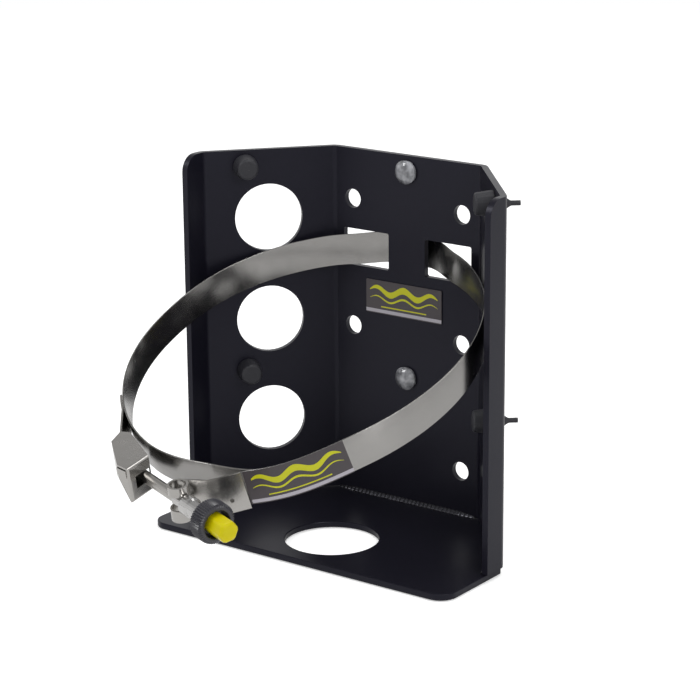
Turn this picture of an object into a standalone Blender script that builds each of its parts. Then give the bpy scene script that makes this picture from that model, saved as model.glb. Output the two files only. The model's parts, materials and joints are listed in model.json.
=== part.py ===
"""Wall bracket for a gas cylinder: folded steel body on a shelf, and a strap with a quick-release bolt.

Units are metres, +Z is up, and the cylinder side faces -Y. The origin is at the middle of the
six-hole pattern, on the rear face of the back panel. The strap is modelled as it hangs when no
cylinder is in it: threaded through two slots, drooping forward until its latch nears the shelf.
"""

import math

import bmesh
import bpy
from mathutils import Matrix, Vector

# Clearances
SEAT_GAP = 0.0003
THREAD_GAP = 0.0001

# Folded body
SHEET = 0.0032
PANEL_WIDTH = 0.088
WING_ANGLE = math.radians(49.0)
WING_LENGTH = 0.067
FLANGE_DEPTH = 0.0127
BEND_RADIUS = 0.003
BODY_HEIGHT = 0.1806
FLANGE_CORNER_RADIUS = 0.0085

# Mounting holes, in two columns and three rows
MOUNT_HOLE_DIAMETER = 0.0097
MOUNT_HOLE_SPACING_X = 0.066
MOUNT_HOLE_SPACING_Z = 0.066
PATTERN_HEIGHT = 0.0924

# Lightening holes in the wings
WING_HOLE_DIAMETER = 0.0345
WING_HOLE_PITCH = 0.0529
WING_HOLE_MIDDLE_HEIGHT = 0.0962
WING_HOLE_FROM_BEND = 0.0343

# Strap slots, either side of the bridge
BRIDGE_WIDTH = 0.022
SLOT_LENGTH = 0.02765
SLOT_HEIGHT = 0.0189
SLOT_MIDDLE_HEIGHT = 0.1335
SLOT_CORNER_RADIUS = 0.001

# Shelf
SHELF_THICKNESS = 0.0032
SHELF_DEPTH = 0.0998
SHELF_INSET = 0.0012
SHELF_CORNER_RADIUS = 0.009
SHELF_HOLE_DIAMETER = 0.0465
SHELF_HOLE_FROM_REAR = 0.0671

# Welds
WELD_LEG = 0.0018
PANEL_WELD_LENGTH = 0.084
FLANGE_WELD_LENGTH = 0.009
WELD_RIPPLE = 0.00012
WELD_RIPPLE_PITCH = 0.0024

# Rubber bumpers pushed through the wings
BUMPER_BELOW_TOP = 0.0083
BUMPER_LOWER_HEIGHT = 0.0697
BUMPER_FROM_BEND = 0.046
BUMPER_HEAD_DIAMETER = 0.0124
BUMPER_TOP_DIAMETER = 0.0106
BUMPER_HEAD_HEIGHT = 0.009
BUMPER_EDGE_RADIUS = 0.0011
BUMPER_HOLE_DIAMETER = 0.0046
BUMPER_BARB_DIAMETER = 0.0058
BUMPER_BARB_LENGTH = 0.0032
BUMPER_TAIL_DIAMETER = 0.0025
BUMPER_TAIL_LENGTH = 0.0058

# Clear domes stuck on the back panel
DOME_DIAMETER = 0.012
DOME_HEIGHT = 0.0038
DOME_RIM = 0.0012

# Labels
LABEL_THICKNESS = 0.0003
PANEL_LABEL_WIDTH = 0.046
PANEL_LABEL_HEIGHT = 0.0172
PANEL_LABEL_MIDDLE_HEIGHT = 0.1097
PANEL_LABEL_SHIFT = -0.0014
STRAP_LABEL_START = math.radians(130.0)
STRAP_LABEL_END = math.radians(161.0)

# Band of the strap, laid out by its angle round the ring from the bridge
BAND_WIDTH = 0.0159
BAND_THICKNESS = 0.0007
RING_FLANGE_CLEARANCE = 0.00276
RING_WING_CLEARANCE = 0.0036
RING_HALF_LENGTH = 0.0921
RING_SIDE_RISE = 0.0031
RING_DROOP = math.radians(22.0)
DETOUR_FLAT = 0.009
DETOUR_FADE = 0.022
REAR_STAND = math.radians(20.0)
TONGUE_TIP = math.radians(-204.0)
TONGUE_BLEND = math.radians(-160.0)
TONGUE_SINK = 0.0013
END_BEND = math.radians(160.0)
END_SLOPE = math.radians(23.0)
END_STOP = math.radians(170.5)
END_TWIST = math.radians(16.0)
END_TWIST_START = math.radians(70.0)
END_TWIST_STOP = math.radians(130.0)
END_SWELL_START = math.radians(125.0)
END_SWELL_STOP = math.radians(152.0)
END_DROP = 0.003
END_DROP_START = math.radians(128.0)
END_DROP_STOP = math.radians(172.0)
TONGUE_DROP = 0.0036
TONGUE_DROP_START = math.radians(-184.0)
STRAP_HINGE_Y = -0.002
STRAP_HINGE_HEIGHT = 0.1291
BAND_REAR_Y = 0.0034
BAND_REAR_HEIGHT = 0.1354

# Latch frame on the ring: X runs towards the knob, Y inwards, Z along the band's width
LATCH_ANGLE = math.radians(190.0)
LATCH_LEAN = math.radians(10.0)
LATCH_RISE = 0.0018

# Hook bracket, the folded box that holds the bolt's crossbar, by distance towards the knob and out
HOOK_SHEET = 0.001
HOOK_CHEEK_HEIGHT = 0.0178
HOOK_INNER = (-0.0278, -0.0026)
HOOK_TOE = (-0.0323, -0.0003)
HOOK_HEEL = (-0.0285, 0.0083)
HOOK_ROOF_BREAK = (-0.0095, 0.0204)
HOOK_WALL_TOP = (-0.0017, 0.0203)
HOOK_WALL_FOOT = (-0.0037, 0.0064)
HOOK_STRIP_START = math.radians(229.5)
HOOK_STRIP_LEAVE = math.radians(222.0)
HOOK_STRIP_WIDTH = 0.0145
HOOK_FOLD_RADIUS = 0.0014
HOOK_CUT_DOWN = 0.0076
HOOK_CUT_ALONG = 0.0065
HOOK_SEAM = 0.0004
HOOK_SEAM_LENGTH = 0.0062
HOOK_LIP_HEIGHT = 0.0042
HOOK_LIP_RAISE = 0.0004
HOOK_SLOT_EASE = 0.0004

# Bolt
BOLT_DIAMETER = 0.0055
CROSSBAR_DIAMETER = 0.0058
CROSSBAR_LENGTH = 0.0148
BOLT_TILT = math.radians(7.3)
BOLT_FROM_FOOT = 0.0027
BOLT_LENGTH = 0.0705
BOLT_SWING = math.radians(25.0)

# Loop bracket, rolled from strip, with its tab on the band's end
LOOP_SHEET = 0.0011
LOOP_DIAMETER = 0.0098
LOOP_WIDTH = 0.0176
LOOP_DROP = 0.0007
LOOP_FROM_PIVOT = 0.0332
LOOP_GAP = 0.0072
TAB_START = math.radians(161.3)
TAB_STOP = math.radians(170.5)
TAB_BURY = 0.00012

# Collar, knob and cap, by their distance along the bolt from its pivot
COLLAR_NOSE_DIAMETER = 0.0067
COLLAR_NOSE_LENGTH = 0.007
COLLAR_DIAMETER = 0.0096
COLLAR_LENGTH = 0.0161
COLLAR_GROOVE_DEPTH = 0.0007
KNOB_DIAMETER = 0.0194
KNOB_LENGTH = 0.0088
KNOB_FLUTES = 48
KNOB_FLUTE_DEPTH = 0.0004
KNOB_RECESS_DIAMETER = 0.0134
KNOB_RECESS_DEPTH = 0.0042
INSERT_DIAMETER = 0.0086
CAP_WIDTH = 0.0095
CAP_LENGTH = 0.0135
CAP_WALL = 0.0012
CAP_CHAMFER = 0.0012

FLOOR = -PATTERN_HEIGHT
SHELF_TOP = FLOOR + SHELF_THICKNESS
BODY_LOW = SHELF_TOP + SEAT_GAP
BODY_TOP = BODY_LOW + BODY_HEIGHT
BUMPER_UPPER_HEIGHT = BODY_TOP - FLOOR - BUMPER_BELOW_TOP
FRONT_FACE = -SHEET


def clear_scene():
    for item in list(bpy.data.objects):
        bpy.data.objects.remove(item, do_unlink=True)


def material(name, colour, roughness, metallic=0.0):
    made = bpy.data.materials.new(name)
    made.use_nodes = True
    shader = made.node_tree.nodes["Principled BSDF"]
    shader.inputs["Base Color"].default_value = (*colour, 1.0)
    shader.inputs["Roughness"].default_value = roughness
    shader.inputs["Metallic"].default_value = metallic
    made.diffuse_color = (*colour, 1.0)
    return made


def finish(bm, name, look=None, parent=None, matrix=None):
    """Turns a bmesh into a named object with its material, set by a matrix in its parent's frame."""
    bmesh.ops.recalc_face_normals(bm, faces=bm.faces)
    mesh = bpy.data.meshes.new(name)
    bm.to_mesh(mesh)
    bm.free()
    mesh.shade_smooth()
    mesh.set_sharp_from_angle(angle=math.radians(32.0))
    made = bpy.data.objects.new(name, mesh)
    bpy.context.collection.objects.link(made)
    made.parent = parent
    if look is not None:
        mesh.materials.append(look)
    if matrix is not None:
        made.matrix_local = matrix
    return made


def empty(name, parent=None, matrix=None):
    made = bpy.data.objects.new(name, None)
    bpy.context.collection.objects.link(made)
    made.empty_display_size = 0.01
    made.parent = parent
    if matrix is not None:
        made.matrix_local = matrix
    return made


def combine(body, tool, operation="DIFFERENCE"):
    """Adds an exact Boolean to a body and puts its tool out of sight."""
    tool.hide_render = True
    tool.display_type = "WIRE"
    step = body.modifiers.new(tool.name, "BOOLEAN")
    step.operation = operation
    step.object = tool
    step.solver = "EXACT"


def add_prism(bm, outline, low, high):
    """Adds a closed prism: an outline of 2D points in XY, from one height to another."""
    ring_low = [bm.verts.new((x, y, low)) for x, y in outline]
    ring_high = [bm.verts.new((x, y, high)) for x, y in outline]
    bm.faces.new(list(reversed(ring_low)))
    bm.faces.new(ring_high)
    count = len(outline)
    for i in range(count):
        j = (i + 1) % count
        bm.faces.new((ring_low[i], ring_low[j], ring_high[j], ring_high[i]))


def prism(outline, low, high):
    bm = bmesh.new()
    add_prism(bm, outline, low, high)
    return bm


def circle(diameter, steps, centre=(0.0, 0.0)):
    turn = 2.0 * math.pi / steps
    radius = diameter / 2.0
    return [(centre[0] + radius * math.cos(i * turn), centre[1] + radius * math.sin(i * turn))
            for i in range(steps)]


def rounded_rectangle(width, height, radius, steps=4, centre=(0.0, 0.0)):
    outline = []
    for quarter, (sx, sy) in enumerate(((1, 1), (-1, 1), (-1, -1), (1, -1))):
        cx = centre[0] + sx * (width / 2.0 - radius)
        cy = centre[1] + sy * (height / 2.0 - radius)
        for i in range(steps + 1):
            angle = (quarter + i / steps) * math.pi / 2.0
            outline.append((cx + radius * math.cos(angle), cy + radius * math.sin(angle)))
    return outline


def turned(profile, steps, flutes=0, flute_depth=0.0):
    """Turns a closed profile of (radius, along) round local Z, with flutes where a point asks for them."""
    bm = bmesh.new()
    rings = []
    for radius, along, fluted in profile:
        ring = []
        for i in range(steps):
            angle = 2.0 * math.pi * i / steps
            depth = flute_depth * 0.5 * (1.0 - math.cos(flutes * angle)) if fluted else 0.0
            ring.append(bm.verts.new(((radius - depth) * math.cos(angle), (radius - depth) * math.sin(angle), along)))
        rings.append(ring)
    count = len(rings)
    for k in range(count):
        ring, after = rings[k], rings[(k + 1) % count]
        for i in range(steps):
            j = (i + 1) % steps
            bm.faces.new((ring[i], ring[j], after[j], after[i]))
    return bm


def spun_solid(profile, steps):
    """Turns an open profile of (radius, along) whose first and last points lie on local Z."""
    bm = bmesh.new()
    first = bm.verts.new((0.0, 0.0, profile[0][1]))
    last = bm.verts.new((0.0, 0.0, profile[-1][1]))
    rings = []
    for radius, along in profile[1:-1]:
        rings.append([bm.verts.new((x, y, along)) for x, y in circle(2.0 * radius, steps)])
    for i in range(steps):
        j = (i + 1) % steps
        bm.faces.new((first, rings[0][j], rings[0][i]))
        bm.faces.new((last, rings[-1][i], rings[-1][j]))
        for ring, after in zip(rings, rings[1:]):
            bm.faces.new((ring[i], ring[j], after[j], after[i]))
    return bm


def smooth_step(value):
    value = min(max(value, 0.0), 1.0)
    return value * value * (3.0 - 2.0 * value)


def meet(point_a, along_a, point_b, along_b):
    """Where two lines in a plane cross."""
    cross = along_a[0] * along_b[1] - along_a[1] * along_b[0]
    dx = point_b[0] - point_a[0]
    dy = point_b[1] - point_a[1]
    run = (dx * along_b[1] - dy * along_b[0]) / cross
    return (point_a[0] + run * along_a[0], point_a[1] + run * along_a[1])


# Directions and corner points of the right half of the body, seen from above
WING_RUN = (math.cos(WING_ANGLE), -math.sin(WING_ANGLE))
WING_INWARD = (-math.sin(WING_ANGLE), -math.cos(WING_ANGLE))
BEND_CORNER = (PANEL_WIDTH / 2.0, FRONT_FACE)
WING_CORNER = (BEND_CORNER[0] + WING_LENGTH * WING_RUN[0], BEND_CORNER[1] + WING_LENGTH * WING_RUN[1])
FLANGE_FRONT = WING_CORNER[1] - FLANGE_DEPTH
FLANGE_OUTER_X = WING_CORNER[0] + SHEET

# The ring fits between the flanges, and stands far enough forward to clear the wings
RING_HALF_WIDTH = WING_CORNER[0] - RING_FLANGE_CLEARANCE
WING_FACE = (BEND_CORNER[0] * math.sin(WING_ANGLE) + (BEND_CORNER[1] - BAND_REAR_Y) * math.cos(WING_ANGLE))
RING_REACH = math.hypot(RING_HALF_WIDTH * math.sin(WING_ANGLE), RING_HALF_LENGTH * math.cos(WING_ANGLE))
BRIDGE_DETOUR = (RING_REACH + RING_WING_CLEARANCE - WING_FACE) / math.cos(WING_ANGLE) - RING_HALF_LENGTH


def wing_point(side, from_bend, off_face=0.0):
    """A point in plan on the inner face of a wing; off_face leans it towards the cylinder."""
    x = BEND_CORNER[0] + from_bend * WING_RUN[0] + off_face * WING_INWARD[0]
    y = BEND_CORNER[1] + from_bend * WING_RUN[1] + off_face * WING_INWARD[1]
    return (side * x, y)


def bend_arc(corner, run_in, run_out, offset, steps=5):
    """Points of a bend on the right half; offset is the distance from the inner face outwards."""
    angle_in = math.atan2(run_in[1], run_in[0])
    angle_out = math.atan2(run_out[1], run_out[0])
    back = BEND_RADIUS * math.tan((angle_in - angle_out) / 2.0)
    centre_x = corner[0] - back * run_in[0] + BEND_RADIUS * run_in[1]
    centre_y = corner[1] - back * run_in[1] - BEND_RADIUS * run_in[0]
    radius = BEND_RADIUS + offset
    points = []
    for i in range(steps + 1):
        angle = angle_in + (angle_out - angle_in) * i / steps + math.pi / 2.0
        points.append((centre_x + radius * math.cos(angle), centre_y + radius * math.sin(angle)))
    return points


def body_face(offset):
    """The right half of one face of the folded sheet, from the middle of the panel to the flange's front."""
    forward = (0.0, -1.0)
    points = bend_arc(BEND_CORNER, (1.0, 0.0), WING_RUN, offset)
    points += bend_arc(WING_CORNER, WING_RUN, forward, offset)
    points.append((WING_CORNER[0] + offset, FLANGE_FRONT))
    return points


def body_outline():
    inner = body_face(0.0)
    outer = body_face(SHEET)
    outline = list(reversed(inner)) + [(-x, y) for x, y in inner]
    outline += [(-x, y) for x, y in reversed(outer)] + outer
    return outline


def facing_front(outline, low, high, x=0.0, z=0.0):
    """A prism whose outline lies in XZ and that runs along Y, for cutting the back panel."""
    bm = prism(outline, low, high)
    bm.transform(Matrix.Translation((x, 0.0, z)) @ Matrix.Rotation(math.pi / 2.0, 4, "X"))
    return bm


def merge(bm, other):
    """Adds the faces of another bmesh to this one."""
    scratch = bpy.data.meshes.new("scratch")
    other.to_mesh(scratch)
    other.free()
    bm.from_mesh(scratch)
    bpy.data.meshes.remove(scratch)


def wing_matrix(side, from_bend, height, off_face=0.0):
    """A frame on a wing's inner face whose Z points at the cylinder."""
    x, y = wing_point(side, from_bend, off_face)
    inward = Vector((side * WING_INWARD[0], WING_INWARD[1], 0.0))
    up = Vector((0.0, 0.0, 1.0))
    across = up.cross(inward)
    frame = Matrix((across, up, inward)).transposed().to_4x4()
    frame.translation = (x, y, FLOOR + height)
    return frame


def slot_outline(side):
    x = side * (BRIDGE_WIDTH + SLOT_LENGTH) / 2.0
    return rounded_rectangle(SLOT_LENGTH, SLOT_HEIGHT, SLOT_CORNER_RADIUS, centre=(x, 0.0))


def body_holes():
    """Every hole of the folded sheet, as one cutter of separate prisms."""
    reach = 3.0 * SHEET
    cutter = bmesh.new()
    for column in (-0.5, 0.5):
        for row in (-1, 0, 1):
            hole = circle(MOUNT_HOLE_DIAMETER, 28)
            merge(cutter, facing_front(hole, -reach, reach, column * MOUNT_HOLE_SPACING_X, row * MOUNT_HOLE_SPACING_Z))
    for side in (-1, 1):
        merge(cutter, facing_front(slot_outline(side), -reach, reach, 0.0, FLOOR + SLOT_MIDDLE_HEIGHT))
        for row in (-1, 0, 1):
            hole = prism(circle(WING_HOLE_DIAMETER, 48), -reach, reach)
            hole.transform(wing_matrix(side, WING_HOLE_FROM_BEND, WING_HOLE_MIDDLE_HEIGHT + row * WING_HOLE_PITCH))
            merge(cutter, hole)
        for height in (BUMPER_LOWER_HEIGHT, BUMPER_UPPER_HEIGHT):
            hole = prism(circle(BUMPER_HOLE_DIAMETER, 20), -reach, reach)
            hole.transform(wing_matrix(side, BUMPER_FROM_BEND, height))
            merge(cutter, hole)
    return finish(cutter, "body_hole_cutter")


def flange_corner_cutter():
    """Takes the top front corner off both flanges, down to a quarter circle."""
    centre = (FLANGE_FRONT + FLANGE_CORNER_RADIUS, BODY_TOP - FLANGE_CORNER_RADIUS)
    margin = SHEET
    steps = 8
    outline = [(FLANGE_FRONT - margin, BODY_TOP + margin), (FLANGE_FRONT - margin, centre[1])]
    for i in range(steps + 1):
        angle = math.pi - i * math.pi / 2.0 / steps
        outline.append((centre[0] + FLANGE_CORNER_RADIUS * math.cos(angle),
                        centre[1] + FLANGE_CORNER_RADIUS * math.sin(angle)))
    outline.append((centre[0], BODY_TOP + margin))
    half = FLANGE_OUTER_X + margin
    bm = prism(outline, -half, half)
    bm.transform(Matrix(((0, 0, 1, 0), (1, 0, 0, 0), (0, 1, 0, 0), (0, 0, 0, 1))))
    return finish(bm, "flange_corner_cutter")


def build_body(look):
    body = finish(prism(body_outline(), BODY_LOW, BODY_TOP), "bracket_body", look)
    combine(body, body_holes())
    combine(body, flange_corner_cutter())


def shelf_outline():
    """The shelf follows the rear of the folded body, a little inside it, and runs forward with round corners."""
    outward = (-WING_INWARD[0], -WING_INWARD[1])
    off = SHEET - SHELF_INSET
    rear = (0.0, FRONT_FACE + off)
    wing_line = (BEND_CORNER[0] + off * outward[0], BEND_CORNER[1] + off * outward[1])
    side_x = WING_CORNER[0] + off
    rear_corner = meet(rear, (1.0, 0.0), wing_line, WING_RUN)
    side_corner = meet((side_x, 0.0), (0.0, 1.0), wing_line, WING_RUN)
    front = -SHELF_DEPTH
    centre = (side_x - SHELF_CORNER_RADIUS, front + SHELF_CORNER_RADIUS)
    half = [rear_corner, side_corner]
    steps = 8
    for i in range(steps + 1):
        angle = -i * math.pi / 2.0 / steps
        half.append((centre[0] + SHELF_CORNER_RADIUS * math.cos(angle),
                     centre[1] + SHELF_CORNER_RADIUS * math.sin(angle)))
    return half + [(-x, y) for x, y in reversed(half)]


def build_shelf(look):
    shelf = finish(prism(shelf_outline(), FLOOR, SHELF_TOP), "shelf_plate", look)
    hole = circle(SHELF_HOLE_DIAMETER, 56, centre=(0.0, -SHELF_HOLE_FROM_REAR))
    cutter = finish(prism(hole, FLOOR - SHEET, SHELF_TOP + SHEET), "shelf_hole_cutter")
    combine(shelf, cutter)


def weld_bead(name, length, frame, look):
    """A rippled fillet along local X, in the corner between local +Y and -Z."""
    bm = bmesh.new()
    stations = max(8, round(length / WELD_RIPPLE_PITCH) * 4)
    arc_steps = 4
    rings = []
    for k in range(stations + 1):
        along = k / stations
        x = (along - 0.5) * length
        ends = min(1.0, 5.0 * min(along, 1.0 - along) + 0.45)
        leg = WELD_LEG * ends + WELD_RIPPLE * math.cos(2.0 * math.pi * x / WELD_RIPPLE_PITCH) * ends
        ring = [bm.verts.new((x, 0.0, 0.0))]
        for i in range(arc_steps + 1):
            angle = math.pi / 2.0 * i / arc_steps
            bulge = 1.0 - 0.22 * math.sin(2.0 * angle)
            ring.append(bm.verts.new((x, -leg * math.cos(angle) * bulge, leg * math.sin(angle) * bulge)))
        rings.append(ring)
    for ring, after in zip(rings, rings[1:]):
        count = len(ring)
        for i in range(count):
            j = (i + 1) % count
            bm.faces.new((ring[i], ring[j], after[j], after[i]))
    bm.faces.new(rings[0])
    bm.faces.new(rings[-1])
    finish(bm, name, look, matrix=frame)


def build_welds(look):
    panel = Matrix.Translation((0.0, FRONT_FACE - SEAT_GAP, BODY_LOW))
    weld_bead("panel_weld", PANEL_WELD_LENGTH, panel, look)
    for side, name in ((-1, "left"), (1, "right")):
        x = side * (WING_CORNER[0] - SEAT_GAP)
        y = FLANGE_FRONT + FLANGE_WELD_LENGTH / 2.0 + SEAT_GAP
        frame = Matrix.Translation((x, y, BODY_LOW)) @ Matrix.Rotation(-side * math.pi / 2.0, 4, "Z")
        weld_bead(f"flange_weld_{name}", FLANGE_WELD_LENGTH, frame, look)


def bumper_profile():
    """Head, stem, barb and tail of a bumper, from its flat top down to the tip of its tail."""
    top = SEAT_GAP + BUMPER_HEAD_HEIGHT
    barb_start = -SHEET - SEAT_GAP
    barb_end = barb_start - BUMPER_BARB_LENGTH
    stem = BUMPER_HOLE_DIAMETER / 2.0 - SEAT_GAP
    edge = BUMPER_EDGE_RADIUS
    profile = [(0.0, top)]
    for i in range(4):
        angle = math.pi / 2.0 * (1.0 - i / 3.0)
        profile.append((BUMPER_TOP_DIAMETER / 2.0 - edge + edge * math.cos(angle), top - edge + edge * math.sin(angle)))
    profile += [
        (BUMPER_HEAD_DIAMETER / 2.0, SEAT_GAP + edge),
        (BUMPER_HEAD_DIAMETER / 2.0, SEAT_GAP),
        (stem, SEAT_GAP),
        (stem, barb_start),
        (BUMPER_BARB_DIAMETER / 2.0, barb_start),
        (BUMPER_TAIL_DIAMETER / 2.0, barb_end),
        (BUMPER_TAIL_DIAMETER / 2.0, barb_end - BUMPER_TAIL_LENGTH),
        (0.0, barb_end - BUMPER_TAIL_LENGTH),
    ]
    return profile


def build_bumpers(rubber, clear):
    for side, side_name in ((-1, "left"), (1, "right")):
        for height, level in ((BUMPER_UPPER_HEIGHT, "upper"), (BUMPER_LOWER_HEIGHT, "lower")):
            frame = wing_matrix(side, BUMPER_FROM_BEND, height)
            finish(spun_solid(bumper_profile(), 24), f"wing_bumper_{side_name}_{level}", rubber, matrix=frame)
    cap_height = DOME_HEIGHT - DOME_RIM
    sphere = ((DOME_DIAMETER / 2.0) ** 2 + cap_height ** 2) / (2.0 * cap_height)
    spread = math.asin(DOME_DIAMETER / 2.0 / sphere)
    profile = [(0.0, DOME_HEIGHT)]
    for i in range(1, 6):
        angle = spread * i / 5.0
        profile.append((sphere * math.sin(angle), DOME_HEIGHT - sphere * (1.0 - math.cos(angle))))
    profile += [(DOME_DIAMETER / 2.0, 0.0), (0.0, 0.0)]
    for height, level in ((BUMPER_UPPER_HEIGHT, "upper"), (BUMPER_LOWER_HEIGHT, "lower")):
        place = Matrix.Translation((0.0, FRONT_FACE - SEAT_GAP, FLOOR + height))
        finish(spun_solid(profile, 28), f"panel_bumper_{level}", clear,
               matrix=place @ Matrix.Rotation(math.pi / 2.0, 4, "X"))


def build_panel_label(look):
    outline = rounded_rectangle(PANEL_LABEL_WIDTH, PANEL_LABEL_HEIGHT, 0.0006, steps=2)
    back = -FRONT_FACE + SEAT_GAP
    bm = facing_front(outline, back, back + LABEL_THICKNESS, PANEL_LABEL_SHIFT, FLOOR + PANEL_LABEL_MIDDLE_HEIGHT)
    finish(bm, "panel_label", look)


def ring_offset(angle):
    """How far the band's middle stands outside the plain ring at an angle."""
    across = abs(RING_HALF_WIDTH * math.sin(angle))
    offset = 0.0
    if abs(angle) < math.pi / 2.0:
        offset += BRIDGE_DETOUR * (1.0 - smooth_step((across - DETOUR_FLAT) / DETOUR_FADE))
    if angle < TONGUE_BLEND:
        offset -= TONGUE_SINK * smooth_step((TONGUE_BLEND - angle) / math.radians(24.0))
    if angle > END_BEND:
        run = (angle - END_BEND) * RING_HALF_LENGTH
        ease = 0.003
        lift = run - ease * (1.0 - math.exp(-run / ease))
        offset += lift * math.tan(END_SLOPE)
    swell = smooth_step((angle - END_SWELL_START) / (END_SWELL_STOP - END_SWELL_START))
    offset += BAND_WIDTH / 2.0 * math.sin(end_twist(angle)) * swell
    return offset


def end_twist(angle):
    """How far the band's lower edge turns outwards where the latch pulls its end down."""
    return END_TWIST * smooth_step((angle - END_TWIST_START) / (END_TWIST_STOP - END_TWIST_START))


def end_drop(angle):
    """How far both ends of the band sag under the ring's plane where they pass the latch."""
    if angle > 0.0:
        return END_DROP * smooth_step((angle - END_DROP_START) / (END_DROP_STOP - END_DROP_START))
    return TONGUE_DROP * smooth_step((TONGUE_DROP_START - angle) / (TONGUE_DROP_START - TONGUE_TIP))


def ring_middle(angle):
    """The plain ring in the band's frame: an ellipse whose rear passes in front of the bridge."""
    x = RING_HALF_WIDTH * math.sin(angle)
    y = RING_HALF_LENGTH * (math.cos(angle) - 1.0) - BRIDGE_DETOUR
    return Vector((x, y, RING_SIDE_RISE * math.sin(angle) ** 2))


def square_axes(tangent):
    """Outward and width directions square to a tangent of the ring, before the band leans."""
    up = Vector((0.0, 0.0, 1.0))
    width = (up - tangent * up.dot(tangent)).normalized()
    return tangent.cross(width), width


def band_middle(angle):
    """The band's middle line, with its detour, its sunk tongue and its sloping end."""
    step = 1e-4
    tangent = (ring_middle(angle - step) - ring_middle(angle + step)).normalized()
    outward, _ = square_axes(tangent)
    return ring_middle(angle) + outward * ring_offset(angle) - Vector((0.0, 0.0, end_drop(angle)))


def band_station(angle):
    """The band's middle point and its outward and width directions, leaned as the band lies there."""
    step = 1e-4
    tangent = (band_middle(angle - step) - band_middle(angle + step)).normalized()
    outward, width = square_axes(tangent)
    stand = 0.0
    if abs(angle) < math.radians(60.0):
        stand = REAR_STAND * math.cos(1.5 * angle) ** 2
    lean = stand - end_twist(angle)
    leaned_width = width * math.cos(lean) + outward * math.sin(lean)
    leaned_outward = outward * math.cos(lean) - width * math.sin(lean)
    return band_middle(angle), leaned_outward, leaned_width


def ribbon(stations, inner, outer, width):
    """A strip that follows stations, between two distances from their points."""
    bm = bmesh.new()
    half = width / 2.0
    rings = []
    for point, outward, across in stations:
        corners = ((inner, -half), (outer, -half), (outer, half), (inner, half))
        rings.append([bm.verts.new(point + outward * out + across * side) for out, side in corners])
    for ring, after in zip(rings, rings[1:]):
        for i in range(4):
            j = (i + 1) % 4
            bm.faces.new((ring[i], ring[j], after[j], after[i]))
    bm.faces.new(rings[0])
    bm.faces.new(rings[-1])
    return bm


def angle_range(start, stop, step):
    count = max(2, math.ceil(abs(stop - start) / step))
    return [start + (stop - start) * i / count for i in range(count + 1)]


def build_band(frame, steel, label):
    half = BAND_THICKNESS / 2.0
    coarse = math.radians(3.0)
    fine = math.radians(1.5)
    slots = math.radians(36.0)
    angles = angle_range(TONGUE_TIP, -slots, coarse)[:-1]
    angles += angle_range(-slots, slots, fine)
    angles += angle_range(slots, END_BEND, coarse)[1:-1]
    angles += angle_range(END_BEND, END_STOP, fine)
    finish(ribbon([band_station(a) for a in angles], -half, half, BAND_WIDTH), "strap_band", steel, frame)
    back = half + SEAT_GAP
    arc = [band_station(a) for a in angle_range(STRAP_LABEL_START, STRAP_LABEL_END, coarse)]
    finish(ribbon(arc, back, back + LABEL_THICKNESS, BAND_WIDTH), "strap_label", label, frame)


def latch_matrix():
    """The latch frame in the band's frame: on the plain ring, leaned like the band's outer end."""
    step = 1e-4
    tangent = (ring_middle(LATCH_ANGLE - step) - ring_middle(LATCH_ANGLE + step)).normalized()
    outward, width = square_axes(tangent)
    leaned_width = width * math.cos(LATCH_LEAN) - outward * math.sin(LATCH_LEAN)
    leaned_outward = outward * math.cos(LATCH_LEAN) + width * math.sin(LATCH_LEAN)
    frame = Matrix((tangent, -leaned_outward, leaned_width)).transposed().to_4x4()
    frame.translation = ring_middle(LATCH_ANGLE) + outward * LATCH_RISE
    return frame


def in_latch(angle, out):
    """A point beside the band's middle line, in the latch frame."""
    middle, outward, _ = band_station(angle)
    return latch_matrix().inverted() @ (middle + outward * out)


def hook_line():
    """The folded line of the hook's heel, roof and end wall, in plan in the latch frame."""
    return [(x, -out) for x, out in (HOOK_TOE, HOOK_HEEL, HOOK_ROOF_BREAK, HOOK_WALL_TOP, HOOK_WALL_FOOT)]


def inset_corner(before, corner, after, distance):
    """A corner of an outline moved inwards by a distance from both of its sides."""
    run_in = Vector((corner[0] - before[0], corner[1] - before[1])).normalized()
    run_out = Vector((after[0] - corner[0], after[1] - corner[1])).normalized()
    shift_in = (corner[0] - run_in.y * distance, corner[1] + run_in.x * distance)
    shift_out = (corner[0] - run_out.y * distance, corner[1] + run_out.x * distance)
    return meet(shift_in, run_in, shift_out, run_out)


def shifted_end(end, neighbour, distance):
    """The end of a line moved square to its last run, to the left of the way from it to its neighbour."""
    run = (Vector(neighbour) - Vector(end)).normalized()
    return (end[0] - run.y * distance, end[1] + run.x * distance)


def folded_prism(outline, half, wall_top, wall_foot):
    """A prism with rounded folds where its end wall meets both cheeks and the roof."""
    bm = prism(outline, -half, half)
    on_wall = {(round(x, 6), round(y, 6)) for x, y in (wall_top, wall_foot)}
    folds = []
    for edge in bm.edges:
        ends = {(round(v.co.x, 6), round(v.co.y, 6)) for v in edge.verts}
        if ends == on_wall or ends == {(round(wall_top[0], 6), round(wall_top[1], 6))}:
            folds.append(edge)
    bmesh.ops.bevel(bm, geom=folds, offset=HOOK_FOLD_RADIUS, segments=4, profile=0.5, affect="EDGES")
    return bm


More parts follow.
